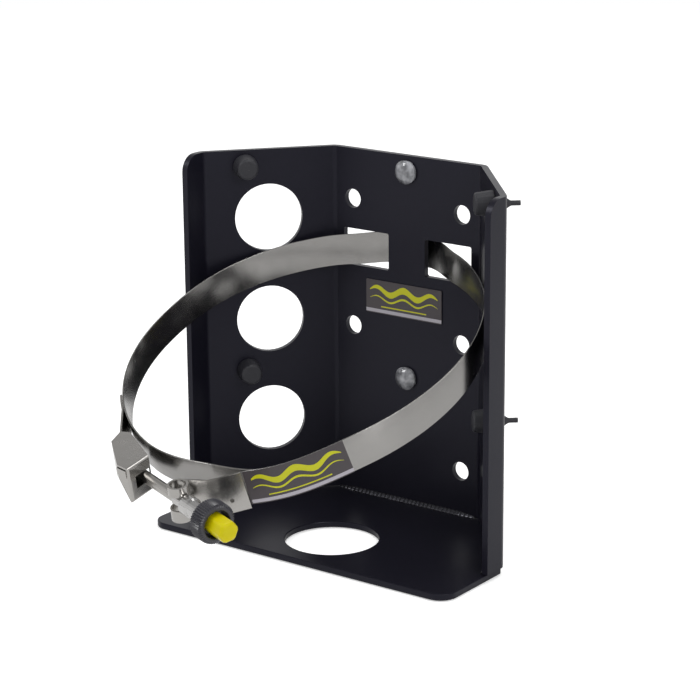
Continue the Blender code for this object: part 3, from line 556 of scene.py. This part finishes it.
COAT = PowderCoat()
WELD_COAT = PowderCoat(name="coated_weld", dark=(0.008, 0.008, 0.01), pale=(0.016, 0.016, 0.018),
                       roughness=0.24, peel=0.15, shine=0.4)
# Painted reflection: on the band the dark-to-pale tone, cooler when dark and warmer when pale, follows slow
# patches along its length that stand in for surroundings mirrored in it; the fine lines are its real grain.
BAND_STEEL = RolledSteel(name="band_steel", dark=(0.235, 0.231, 0.23), pale=(0.338, 0.328, 0.31),
                         use_uv=True, along=30.0, across=6000.0, roughness=0.17, stretch=0.85)
SPOT_STEEL = RolledSteel(name="spot_weld", dark=(0.05, 0.048, 0.044), pale=(0.14, 0.135, 0.125),
                         roughness=0.35)
LATCH_STEEL = RolledSteel(name="latch_steel", dark=(0.31, 0.3, 0.286), pale=(0.43, 0.416, 0.398),
                          roughness=0.17, spread=0.08, lines=0.08, wobble=0.12)
RUBBER = Moulded("bumper_rubber", (0.014, 0.014, 0.018), (0.028, 0.028, 0.034), 0.5, specks=0.2)
DOME = ClearDome()
KNOB_PLASTIC = Moulded("knob_plastic", (0.018, 0.018, 0.024), (0.032, 0.031, 0.041), 0.3,
                       specks=0.08, shine=0.5)
CAP_VINYL = Moulded("cap_vinyl", (0.56, 0.47, 0.0), (0.66, 0.57, 0.002), 0.3, peel=0.05,
                    subsurface=0.05, shine=0.2)


def printed_film(name: str, dark: Colour, pale: Colour) -> Moulded:
    """Gives the smooth finish of a printed film."""
    return Moulded(name, dark, pale, 0.32, grain=1600.0, peel=0.03)


FILM_GREY = printed_film("film_grey", (0.05, 0.043, 0.047), (0.07, 0.061, 0.065))
FILM_YELLOW = printed_film("film_yellow", (0.46, 0.46, 0.008), (0.56, 0.56, 0.012))
FILM_PALE = printed_film("film_pale", (0.36, 0.34, 0.38), (0.46, 0.44, 0.48))


# Mesh helpers

WELD_GAP = 1e-6
FLAT_ANGLE = math.radians(0.5)
SHARP_ANGLE = math.radians(30.0)


def join_up(bm: bmesh.types.BMesh, name: str, look: Material, smooth: float = 32.0) -> Object:
    """Turns a bmesh into a named object.

    Args:
        bm: the mesh, freed here.
        name: the piece's name.
        look: its material.
        smooth: angle in degrees under which edges shade smooth.

    Returns:
        The object.
    """
    bmesh.ops.recalc_face_normals(bm, faces=bm.faces)
    mesh = bpy.data.meshes.new(name)
    bm.to_mesh(mesh)
    bm.free()
    mesh.shade_smooth()
    mesh.set_sharp_from_angle(angle=math.radians(smooth))
    made = bpy.data.objects.new(name, mesh)
    bpy.context.scene.collection.objects.link(made)
    mesh.materials.append(look)
    return made


def eased_copy(node: str, radius: float, look: Material, steps: int = 2) -> Object:
    """Copies a CAD node's mesh with its edges slightly rounded, to stand in its place.

    Args:
        node: the CAD node.
        radius: the rounding, in metres.
        look: the copy's material.
        steps: segments of the rounding.

    Returns:
        The copy, standing for the node.
    """
    source = frame["nodes"][node]
    bm = bmesh.new()
    bm.from_mesh(source.data)
    bmesh.ops.remove_doubles(bm, verts=bm.verts, dist=WELD_GAP)
    bmesh.ops.dissolve_limit(bm, angle_limit=FLAT_ANGLE, verts=bm.verts, edges=bm.edges)
    edges = [e for e in bm.edges if len(e.link_faces) == 2 and e.calc_face_angle(0.0) > SHARP_ANGLE]
    bmesh.ops.bevel(bm, geom=edges, offset=radius, segments=steps, affect="EDGES", profile=0.5,
                    clamp_overlap=True)
    made = join_up(bm, f"{node}_eased", look, 28.0)
    normals = made.modifiers.new("even_normals", "WEIGHTED_NORMAL")
    normals.keep_sharp = True
    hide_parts(node)
    return made


def dress(node: str, look: Material) -> None:
    """Gives a CAD node its material.

    Args:
        node: the CAD node.
        look: its material.
    """
    target = frame["nodes"][node]
    target.data.materials.clear()
    target.data.materials.append(look)
    log.info("%s dressed in %s", node, look.name)


def settle(piece: Object, body: Body) -> Object:
    """Makes a piece ride on its body and reports it.

    Args:
        piece: the new piece.
        body: the body it rides on.

    Returns:
        The piece.
    """
    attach(piece, body.value)
    log.info("%s rides on %s", piece.name, body.value)
    return piece


def smooth_step(value: float) -> float:
    """Eases a share from 0 to 1."""
    value = min(max(value, 0.0), 1.0)
    return value * value * (3.0 - 2.0 * value)


def swell(value: float, marks: tuple[float, float, float, float]) -> float:
    """Gives a share that grows from the first mark to the second and fades from the third to the last."""
    start, full, fade, stop = marks
    return smooth_step((value - start) / (full - start)) * (1.0 - smooth_step((value - fade) / (stop - fade)))


@dataclass(frozen=True)
class Station:
    """A point on the band with its outward and width directions."""

    point: Vector
    outward: Vector
    width: Vector

    def at(self, out: float, across: float) -> Vector:
        """Gives the point at a distance out of and across the band."""
        return self.point + self.outward * out + self.width * across


@dataclass(frozen=True)
class RingPath:
    """The course of the strap's band, by angle round the ring from the bridge."""

    half_width: float = 0.085196
    half_length: float = 0.0921
    side_rise: float = 0.0031
    detour: float = 0.003862
    detour_flat: float = 0.009
    detour_fade: float = 0.022
    stand: float = math.radians(20.0)
    tongue_blend: float = math.radians(-160.0)
    tongue_blend_run: float = math.radians(24.0)
    tongue_sink: float = 0.0013
    tongue_drop: float = 0.0036
    tongue_drop_start: float = math.radians(-184.0)
    tongue_tip: float = math.radians(-204.0)
    end_bend: float = math.radians(160.0)
    end_slope: float = math.radians(23.0)
    end_ease: float = 0.003
    twist: float = math.radians(16.0)
    twist_start: float = math.radians(70.0)
    twist_stop: float = math.radians(130.0)
    swell_start: float = math.radians(125.0)
    swell_stop: float = math.radians(152.0)
    end_drop: float = 0.003
    drop_start: float = math.radians(128.0)
    drop_stop: float = math.radians(172.0)
    left_rise: float = 0.0016
    left_run: tuple[float, float, float, float] = (2.0, 30.0, 58.0, 94.0)
    right_fall: float = 0.0012
    right_run: tuple[float, float, float, float] = (10.0, 50.0, 80.0, 125.0)
    width: float = 0.0159
    rear: Triple = (0.0, 0.0034, 0.043)
    droop: float = math.radians(22.0)
    nudge: float = 1e-4

    def frame(self) -> Matrix:
        """Gives the band's frame in the part's frame."""
        return Matrix.Translation(self.rear) @ Matrix.Rotation(self.droop, 4, "X")

    def plain(self, angle: float) -> Vector:
        """Gives a point of the plain ring, in the band's frame.

        Args:
            angle: the angle round the ring.

        Returns:
            The point.
        """
        x = self.half_width * math.sin(angle)
        y = self.half_length * (math.cos(angle) - 1.0) - self.detour
        return Vector((x, y, self.side_rise * math.sin(angle) ** 2))

    def turn(self, angle: float) -> float:
        """Gives the outward turn of the band's lower edge near its outer end."""
        return self.twist * smooth_step((angle - self.twist_start) / (self.twist_stop - self.twist_start))

    def drop(self, angle: float) -> float:
        """Gives how far both ends sag where they pass the latch.

        Args:
            angle: the angle round the ring.

        Returns:
            The sag.
        """
        if angle > 0.0:
            return self.end_drop * smooth_step((angle - self.drop_start) / (self.drop_stop - self.drop_start))
        fall = self.tongue_drop_start - self.tongue_tip
        return self.tongue_drop * smooth_step((self.tongue_drop_start - angle) / fall)

    def sway(self, angle: float) -> float:
        """Gives how far the band's left run rises and its right run falls.

        Args:
            angle: the angle round the ring.

        Returns:
            The rise, below 0 for a fall.
        """
        turned = math.degrees(angle)
        if turned < 0.0:
            return self.left_rise * swell(-turned, self.left_run)
        return -self.right_fall * swell(turned, self.right_run)

    def offset(self, angle: float) -> float:
        """Gives how far the band's middle stands outside the plain ring.

        Args:
            angle: the angle round the ring.

        Returns:
            The distance.
        """
        across = abs(self.half_width * math.sin(angle))
        total = 0.0
        if abs(angle) < math.pi / 2.0:
            total += self.detour * (1.0 - smooth_step((across - self.detour_flat) / self.detour_fade))
        if angle < self.tongue_blend:
            total -= self.tongue_sink * smooth_step((self.tongue_blend - angle) / self.tongue_blend_run)
        if angle > self.end_bend:
            run = (angle - self.end_bend) * self.half_length
            ease = self.end_ease
            total += (run - ease * (1.0 - math.exp(-run / ease))) * math.tan(self.end_slope)
        share = smooth_step((angle - self.swell_start) / (self.swell_stop - self.swell_start))
        return total + self.width / 2.0 * math.sin(self.turn(angle)) * share

    @staticmethod
    def square(tangent: Vector) -> tuple[Vector, Vector]:
        """Gives the outward and width directions square to a tangent.

        Args:
            tangent: the band's direction, of length 1.

        Returns:
            The outward direction and the width direction.
        """
        up = Vector((0.0, 0.0, 1.0))
        width = (up - tangent * up.dot(tangent)).normalized()
        return tangent.cross(width), width

    def middle(self, angle: float) -> Vector:
        """Gives a point of the band's middle line, in the band's frame.

        Args:
            angle: the angle round the ring.

        Returns:
            The point.
        """
        tangent = (self.plain(angle - self.nudge) - self.plain(angle + self.nudge)).normalized()
        level = Vector((0.0, 0.0, self.sway(angle) - self.drop(angle)))
        return self.plain(angle) + self.square(tangent)[0] * self.offset(angle) + level

    def station(self, angle: float) -> Station:
        """Gives the band's station at an angle, in the part's frame.

        Args:
            angle: the angle round the ring.

        Returns:
            The station.
        """
        tangent = (self.middle(angle - self.nudge) - self.middle(angle + self.nudge)).normalized()
        outward, width = self.square(tangent)
        lean = -self.turn(angle)
        if abs(angle) < math.pi / 2.0:
            lean += self.stand * math.cos(angle) ** 2
        across = width * math.cos(lean) + outward * math.sin(lean)
        out = outward * math.cos(lean) - width * math.sin(lean)
        home = self.frame()
        spin = home.to_3x3()
        return Station(home @ self.middle(angle), spin @ out, spin @ across)


PATH = RingPath()


def angles_between(start: float, stop: float, step: float) -> list[float]:
    """Gives evenly spaced angles from start to stop.

    Args:
        start: first angle.
        stop: last angle.
        step: the largest step.

    Returns:
        The angles.
    """
    count = max(2, math.ceil(abs(stop - start) / step))
    return [start + (stop - start) * i / count for i in range(count + 1)]


def rounded_section(inner: float, outer: float, half: float, radius: float,
                    steps: int = 3) -> list[tuple[float, float]]:
    """Gives the closed outline of a strip's section with rounded edges.

    Args:
        inner: distance out of its inner face.
        outer: distance out of its outer face.
        half: half its width.
        radius: the rounding.
        steps: segments of each rounding.

    Returns:
        Points of (out, across).
    """
    points = []
    corners = ((outer, half, 0), (inner, half, 1), (inner, -half, 2), (outer, -half, 3))
    for out, across, quarter in corners:
        cx = out - radius if quarter in (0, 3) else out + radius
        cy = across - radius if quarter in (0, 1) else across + radius
        for i in range(steps + 1):
            turn = (quarter + i / steps) * math.pi / 2.0
            points.append((cx + radius * math.cos(turn), cy + radius * math.sin(turn)))
    return points


def sweep(stations: Sequence[Station], section: Sequence[tuple[float, float]], name: str,
          look: Material) -> Object:
    """Sweeps a section along stations, with a UV map in metres along and across.

    Args:
        stations: the course.
        section: closed points of (out, across).
        name: the piece's name.
        look: its material.

    Returns:
        The piece.
    """
    bm = bmesh.new()
    uv = bm.loops.layers.uv.new("run")
    rings = []
    runs = [0.0]
    for before, after in zip(stations, stations[1:]):
        runs.append(runs[-1] + (after.point - before.point).length)
    for station in stations:
        rings.append([bm.verts.new(station.at(out, across)) for out, across in section])
    count = len(section)
    for k in range(len(rings) - 1):
        for i in range(count):
            j = (i + 1) % count
            face = bm.faces.new((rings[k][i], rings[k][j], rings[k + 1][j], rings[k + 1][i]))
            corners = ((runs[k], i), (runs[k], j), (runs[k + 1], j), (runs[k + 1], i))
            for loop, (run, spot) in zip(face.loops, corners):
                loop[uv].uv = (run, section[spot][1])
    bm.faces.new(rings[0])
    bm.faces.new(rings[-1])
    return join_up(bm, name, look, 40.0)


Surface = Callable[[float, float, float], Vector]


def ribbon(name: str, at: Surface, rows: Sequence[Triple], lift: float,
           look: Material) -> Object:
    """Makes a thin printed strip on a surface.

    Args:
        name: the piece's name.
        at: the surface, by shares across and up and a lift.
        rows: share across, lower edge and upper edge.
        lift: height over the surface.
        look: its material.

    Returns:
        The strip.
    """
    bm = bmesh.new()
    lines = []
    for across, low, high in rows:
        middle = (low + high) / 2.0
        outline = ((low, -lift), (low, lift), (middle, lift), (high, lift), (high, -lift), (middle, -lift))
        lines.append([bm.verts.new(at(across, level, height)) for level, height in outline])
    for line, after in zip(lines, lines[1:]):
        for k in range(len(line)):
            nearby = (k + 1) % len(line)
            bm.faces.new((line[k], line[nearby], after[nearby], after[k]))
    for line in (lines[0], lines[-1]):
        bm.faces.new((line[0], line[1], line[2], line[5]))
        bm.faces.new((line[2], line[3], line[4], line[5]))
    return join_up(bm, name, look, 60.0)


RIVET_SIDES = 18
RIVET_PROFILE = ((0.0, -0.05), (1.0, -0.05), (0.85, 0.16), (0.65, 0.2), (0.4, 0.08), (0.0, 0.03))


def rivet(name: str, spot: Vector, facing: Vector, radius: float, look: Material) -> Object:
    """Makes a small press mark: a low ring with a hollow middle.

    Args:
        name: the piece's name.
        spot: its middle.
        facing: the surface's outward direction.
        radius: its radius.
        look: its material.

    Returns:
        The mark.
    """
    bm = bmesh.new()
    across = facing.orthogonal().normalized()
    other = facing.cross(across)
    rings = []
    for share, height in RIVET_PROFILE:
        ring = []
        for i in range(RIVET_SIDES if share > 0.0 else 1):
            angle = 2.0 * math.pi * i / RIVET_SIDES
            flat = across * math.cos(angle) + other * math.sin(angle)
            ring.append(bm.verts.new(spot + flat * radius * share + facing * radius * height))
        rings.append(ring)
    for ring, after in zip(rings, rings[1:]):
        for i in range(RIVET_SIDES):
            j = (i + 1) % RIVET_SIDES
            if len(ring) == 1:
                bm.faces.new((ring[0], after[j], after[i]))
            elif len(after) == 1:
                bm.faces.new((ring[i], ring[j], after[0]))
            else:
                bm.faces.new((ring[i], ring[j], after[j], after[i]))
    return join_up(bm, name, look, 60.0)


def lathe(name: str, home: Matrix, profile: Sequence[Triple], look: Material,
          steps: tuple[int, float] = (32, 40.0), depth: float = 0.0) -> Object:
    """Turns a closed outline about a frame's X axis, with ribs where the outline asks for them.

    Args:
        name: the piece's name.
        home: the frame.
        profile: distance along the axis, radius and share of the ribs' depth.
        look: its material.
        steps: how many sides it has, and the angle over which an edge stays sharp.
        depth: the ribs' depth.

    Returns:
        The turned piece.
    """
    bm = bmesh.new()
    sides = steps[0]
    rings = []
    for along, radius, ribbed in profile:
        ring = []
        for i in range(sides):
            angle = 2.0 * math.pi * i / sides
            reach = radius - ribbed * depth * (0.0, 0.5, 1.0, 0.5)[i % 4]
            spot = Vector((along, reach * math.sin(angle), reach * math.cos(angle)))
            ring.append(bm.verts.new(home @ spot))
        rings.append(ring)
    for k, ring in enumerate(rings):
        after = rings[(k + 1) % len(rings)]
        for i in range(sides):
            j = (i + 1) % sides
            bm.faces.new((ring[i], ring[j], after[j], after[i]))
    return join_up(bm, name, look, steps[1])


def seat(origin: Sequence[float], along: Sequence[float], up: Sequence[float]) -> Matrix:
    """Gives a frame.

    Args:
        origin: its origin.
        along: its X direction.
        up: its Z direction.

    Returns:
        The frame.
    """
    x, z = Vector(along).normalized(), Vector(up).normalized()
    made = Matrix((x, z.cross(x), z)).transposed().to_4x4()
    made.translation = origin
    return made


# The hook's frame, and the knob's from its joint. Both stand along the axis that the bolt swings about.
JOINTS = {joint["name"]: joint for joint in frame["joints"]}
LATCH_UP = tuple(-value for value in JOINTS["bolt_swing"]["axis"])
HOOK_SEAT = seat((-0.01513, -0.171345, -0.027501), (0.982343, -0.168434, -0.08144), LATCH_UP)
KNOB_SEAT = seat(JOINTS["knob_turn"]["pos_m"], JOINTS["knob_turn"]["axis"], LATCH_UP)


# Sub-assemblies

@dataclass
class FoldedBody:
    """The folded plate, its shelf, welds and bumpers."""

    edge: float = 0.0005
    wing_angle: float = math.radians(49.0)
    tip_depth: float = 1e-5
    cone: tuple[tuple[float, float], ...] = (
        (-0.0089, 0.0012), (-0.0089, 0.0027), (-0.0086, 0.0029), (-0.0073, 0.0029),
        (-0.0069, 0.0028), (-0.005, 0.0015), (-0.0045, 0.00135), (-0.0045, 0.0012))

    def build(self) -> None:
        """Makes the eased plates and the barbs, and dresses the rest."""
        coat = material(COAT)
        for node in ("bracket_body", "shelf_plate"):
            settle(eased_copy(node, self.edge, coat), Body.BRACKET)
        for node in ("panel_weld", "flange_weld_left", "flange_weld_right"):
            dress(node, material(WELD_COAT))
        for side, lean in (("left", -1.0), ("right", 1.0)):
            for level in ("upper", "lower"):
                dress(f"wing_bumper_{side}_{level}", material(RUBBER))
                settle(self.barb(side, lean, level), Body.BRACKET)
        for level in ("upper", "lower"):
            dress(f"panel_bumper_{level}", material(DOME))

    def barb(self, side: str, lean: float, level: str) -> Object:
        """Makes the full cone of a bumper's barb, round the root of its tail.

        Args:
            side: the wing that the bumper is on.
            lean: -1 for the left wing and 1 for the right.
            level: whether it is the upper or the lower bumper.

        Returns:
            The cone.
        """
        axis = Vector((lean * math.sin(self.wing_angle), math.cos(self.wing_angle), 0.0))
        corners = [v.co for v in frame["nodes"][f"wing_bumper_{side}_{level}"].data.vertices]
        reach = max(corner.dot(axis) for corner in corners)
        tip = [corner for corner in corners if corner.dot(axis) > reach - self.tip_depth]
        end = sum(tip, Vector()) / len(tip)
        profile = [(along, radius, 0.0) for along, radius in self.cone]
        return lathe(f"barb_{side}_{level}", seat(end, axis, (0.0, 0.0, 1.0)), profile, material(RUBBER))


@dataclass
class Strap:
    """The band, its hook box and its loop, with the press marks on both."""

    thickness: float = 0.0007
    edge: float = 0.0002
    stop: float = math.radians(170.5)
    step: float = math.radians(1.5)
    tab_face: float = 0.00175
    weld_angle: float = math.radians(165.7)
    weld_across: float = -0.0037
    weld_radius: float = 0.001
    cheek: float = 0.0089
    marks: tuple[tuple[str, float, float, float], ...] = (
        ("hook_dot", -0.0229, 0.0041, 0.0005), ("hook_dash_rear", -0.0254, 0.0072, 0.0004),
        ("hook_dash_middle", -0.0246, 0.0066, 0.0004), ("hook_dash_front", -0.0238, 0.006, 0.0004))

    def build(self) -> None:
        """Makes the band, the eased hook and loop, and the marks on them."""
        angles = angles_between(PATH.tongue_tip, self.stop, self.step)
        stations = [PATH.station(angle) for angle in angles]
        half = self.thickness / 2.0
        section = rounded_section(-half, half, PATH.width / 2.0, self.edge)
        band = sweep(stations, section, "band_rounded", material(BAND_STEEL))
        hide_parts("strap_band")
        settle(band, Body.STRAP)
        steel = material(LATCH_STEEL)
        for node in ("hook_bracket", "loop_bracket"):
            settle(eased_copy(node, self.edge, steel), Body.STRAP)
        spot = PATH.station(self.weld_angle)
        weld = rivet("tab_spot", spot.at(self.tab_face, self.weld_across), spot.outward, self.weld_radius,
                     material(SPOT_STEEL))
        settle(weld, Body.STRAP)
        self.cheek_marks(steel)

    def cheek_marks(self, steel: Material) -> None:
        """Makes the stamped dash and dot on the hook's upper cheek.

        Args:
            steel: their material.
        """
        facing = HOOK_SEAT.to_3x3() @ Vector((0.0, 0.0, 1.0))
        for name, along, out, radius in self.marks:
            spot = HOOK_SEAT @ Vector((along, -out, self.cheek))
            settle(rivet(name, spot, facing, radius, steel), Body.STRAP)


@dataclass
class Latch:
    """The bolt, collar, knob and cap."""

    knob_length: float = 0.0088
    knob_radius: float = 0.0097
    recess_radius: float = 0.0067
    recess_floor: float = 0.0046
    hub_radius: float = 0.0044
    ribs: int = 48
    rib_depth: float = 0.00055
    bolt_edge: float = 0.0002
    cap_edge: float = 0.0006

    def build(self) -> None:
        """Dresses the latch's turned pieces and makes the ribbed knob."""
        settle(eased_copy("t_bolt", self.bolt_edge, material(LATCH_STEEL)), Body.BOLT)
        dress("collar", material(BrightPlate()))
        dress("knob_insert", material(LATCH_STEEL))
        settle(self.ribbed_knob(), Body.KNOB)
        cap = eased_copy("end_cap", self.cap_edge, material(CAP_VINYL), steps=3)
        settle(cap, Body.KNOB)

    def ribbed_knob(self) -> Object:
        """Turns the knob with fine straight ribs round its rim.

        Returns:
            The knob, standing for the CAD's plainer one.
        """
        rim, end = self.knob_radius, self.knob_length
        back = [(0.0, self.hub_radius, 0.0), (0.0, rim - 0.00176, 0.0), (0.00045, rim - 0.0009, 0.5),
                (0.0011, rim, 1.0)]
        front = [(end - 0.0014, rim, 1.0), (end - 0.0008, rim - 0.0003, 1.0),
                 (end - 0.0001, rim - 0.0014, 0.8), (end, rim - 0.002, 0.3)]
        recess = [(end, self.recess_radius + 0.0003, 0.0), (end - 0.0002, self.recess_radius, 0.0),
                  (self.recess_floor, self.recess_radius - 0.0008, 0.0),
                  (self.recess_floor, self.hub_radius, 0.0)]
        knob = lathe("knob_ribbed", KNOB_SEAT, back + front + recess, material(KNOB_PLASTIC),
                     (self.ribs * 4, 28.0), self.rib_depth)
        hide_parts("knob")
        return knob


@dataclass
class Labels:
    """Printed films on the panel and on the band, each with two ripples, a rule and a pale foot."""

    lift: float = 0.00004
    steps: int = 72
    waves: float = 2.5
    ripple_edge: float = 0.05
    ripple_least: float = 0.02
    ripples: tuple[tuple[str, float, float, float], ...] = (
        ("ripple", 0.7, 0.1, 0.1), ("ripple_thin", 0.45, 0.03, 0.08))
    bars: tuple[tuple[str, Moulded, float, float, float, float], ...] = (
        ("foot", FILM_PALE, 0.0, 1.0, 0.03, 0.13), ("rule", FILM_YELLOW, 0.2, 0.6, 0.2, 0.235))
    strap_start: float = math.radians(130.0)
    strap_end: float = math.radians(161.0)
    strap_face: float = 0.00095

    def build(self) -> None:
        """Dresses both films and prints on them."""
        for node in ("panel_label", "strap_label"):
            dress(node, material(FILM_GREY))
        low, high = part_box("panel_label")

        def on_panel(u: float, v: float, lift: float) -> Vector:
            """Gives a point of the panel's film."""
            return Vector((low.x + (high.x - low.x) * u, low.y - lift, low.z + (high.z - low.z) * v))

        def on_strap(u: float, v: float, lift: float) -> Vector:
            """Gives a point of the band's film."""
            station = PATH.station(self.strap_end + (self.strap_start - self.strap_end) * u)
            return station.at(self.strap_face + lift, PATH.width * (v - 0.5))

        films = (("panel_print", on_panel, Body.BRACKET), ("strap_print", on_strap, Body.STRAP))
        for name, at, body in films:
            for piece in self.printed(name, at):
                settle(piece, body)

    def printed(self, name: str, at: Surface) -> list[Object]:
        """Makes the print on one film.

        Args:
            name: start of the pieces' names.
            at: the film's surface, by shares across and up.

        Returns:
            The printed pieces.
        """
        shares = [i / self.steps for i in range(self.steps + 1)]
        pieces = []
        for tag, *sizes in self.ripples:
            rows = [self.ripple_row(share, *sizes) for share in shares]
            pieces.append(ribbon(f"{name}_{tag}", at, rows, self.lift, material(FILM_YELLOW)))
        for tag, film, first, run, low, high in self.bars:
            rows = [(first + run * share, low, high) for share in shares]
            pieces.append(ribbon(f"{name}_{tag}", at, rows, self.lift, material(film)))
        return pieces

    def ripple_row(self, share: float, middle: float, half: float, swing: float) -> Triple:
        """Gives one row of a tapering wave.

        Args:
            share: how far along the wave the row is.
            middle: share up the film of the wave's middle line.
            half: half its width at its thickest.
            swing: how far it swings up and down.

        Returns:
            The row's share across, lower edge and upper edge.
        """
        level = middle + swing * math.sin(2.0 * math.pi * self.waves * share)
        wide = half * math.sqrt(max(math.sin(math.pi * share), self.ripple_least))
        across = self.ripple_edge + (1.0 - 2.0 * self.ripple_edge) * share
        return across, level - wide, level + wide


@dataclass
class Studio:
    """Floor, light and camera."""

    floor_height: float = -0.0924
    floor_gap: float = 0.0005
    floor_size: float = 3.0
    floor_tone: Colour = (0.93, 0.93, 0.93)
    floor_seen: float = 0.45
    floor_mirrored: float = 0.1
    sky_rise: tuple[float, float] = (0.35, 0.85)
    sky_low: float = 0.95
    sky_high: float = 0.35
    sky_light: float = 0.45
    rig: tuple[tuple[str, Triple, float, float], ...] = (
        ("key_lamp", (-1.0, -1.2, 1.4), 0.7, 13.0), ("fill_lamp", (1.5, -0.7, 0.9), 0.7, 9.5),
        ("top_lamp", (0.2, 0.3, 1.7), 0.9, 10.0))
    aim: Triple = (0.0, -0.06, 0.0)
    camera_place: Triple = (0.67726, -0.96392, 0.33108)
    camera_right: Triple = (0.8043, 0.5942, -0.0071)
    camera_back: Triple = (0.5725, -0.7717, 0.2771)
    lens: float = 124.83
    sensor: float = 36.0

    def build(self) -> None:
        """Makes the studio."""
        self.world()
        self.floor()
        for lamp in self.rig:
            self.lamp(*lamp)
        self.camera()

    def world(self) -> None:
        """Makes a sky that the camera sees as white, and mirrors as paler low down than overhead."""
        world = bpy.data.worlds.new("studio_sky")
        bpy.context.scene.world = world
        world.use_nodes = True
        tree = world.node_tree
        ground = tree.nodes["Background"]
        seen, mirrored = ray_kinds(tree)
        spot = tree.nodes.new("ShaderNodeTexCoord")
        parts = tree.nodes.new("ShaderNodeSeparateXYZ")
        tree.links.new(spot.outputs["Generated"], parts.inputs[0])
        room = span(tree, parts.outputs["Z"], *self.sky_rise, self.sky_low, self.sky_high)
        glossy = calc(tree, "MULTIPLY", mirrored, room)
        light = scale_up(tree, calc(tree, "SUBTRACT", 1.0, mirrored), self.sky_light, glossy)
        wire(tree, ground, Color=WHITE, Strength=calc(tree, "MAXIMUM", seen, light))

    def floor(self) -> None:
        """Makes a pale floor that keeps the shadow and meets the sky without an edge."""
        bm = bmesh.new()
        bmesh.ops.create_grid(bm, x_segments=1, y_segments=1, size=self.floor_size)
        look = bpy.data.materials.new("pale_floor")
        look.use_nodes = True
        tree = look.node_tree
        shader = tree.nodes["Principled BSDF"]
        seen, mirrored = ray_kinds(tree)
        glow = scale_up(tree, seen, self.floor_seen, calc(tree, "MULTIPLY", mirrored, self.floor_mirrored))
        wire(tree, shader, Base_Color=self.floor_tone, Roughness=0.9, Specular_IOR_Level=0.0,
             Emission_Color=WHITE, Emission_Strength=glow)
        floor = join_up(bm, "studio_floor", look)
        floor.location = (0.0, 0.0, self.floor_height - self.floor_gap)

    def lamp(self, name: str, spot: Triple, size: float, power: float) -> None:
        """Hangs a soft square lamp that looks at the part.

        Args:
            name: the lamp's name.
            spot: where it hangs.
            size: its side.
            power: its power, in watts.
        """
        light = bpy.data.lights.new(name, "AREA")
        light.size = size
        light.energy = power
        made = bpy.data.objects.new(name, light)
        bpy.context.scene.collection.objects.link(made)
        made.location = spot
        beam = Vector(self.aim) - Vector(spot)
        made.rotation_euler = beam.to_track_quat("-Z", "Y").to_euler()

    def camera(self) -> None:
        """Sets up the camera at the photograph's place."""
        lens = bpy.data.cameras.new("camera")
        lens.lens = self.lens
        lens.sensor_width = self.sensor
        made = bpy.data.objects.new("camera", lens)
        bpy.context.scene.collection.objects.link(made)
        right = Vector(self.camera_right).normalized()
        back = Vector(self.camera_back).normalized()
        up = back.cross(right).normalized()
        right = up.cross(back)
        turn = Matrix((right, up, back)).transposed().to_4x4()
        made.matrix_world = Matrix.Translation(self.camera_place) @ turn
        bpy.context.scene.camera = made


def main() -> None:
    """Builds every sub-assembly and the studio."""
    logging.basicConfig(level=logging.INFO, format="%(name)s: %(message)s")
    bpy.context.scene.view_settings.view_transform = "Standard"
    FoldedBody().build()
    Strap().build()
    Latch().build()
    Labels().build()
    Studio().build()


if __name__ == "__main__":
    main()
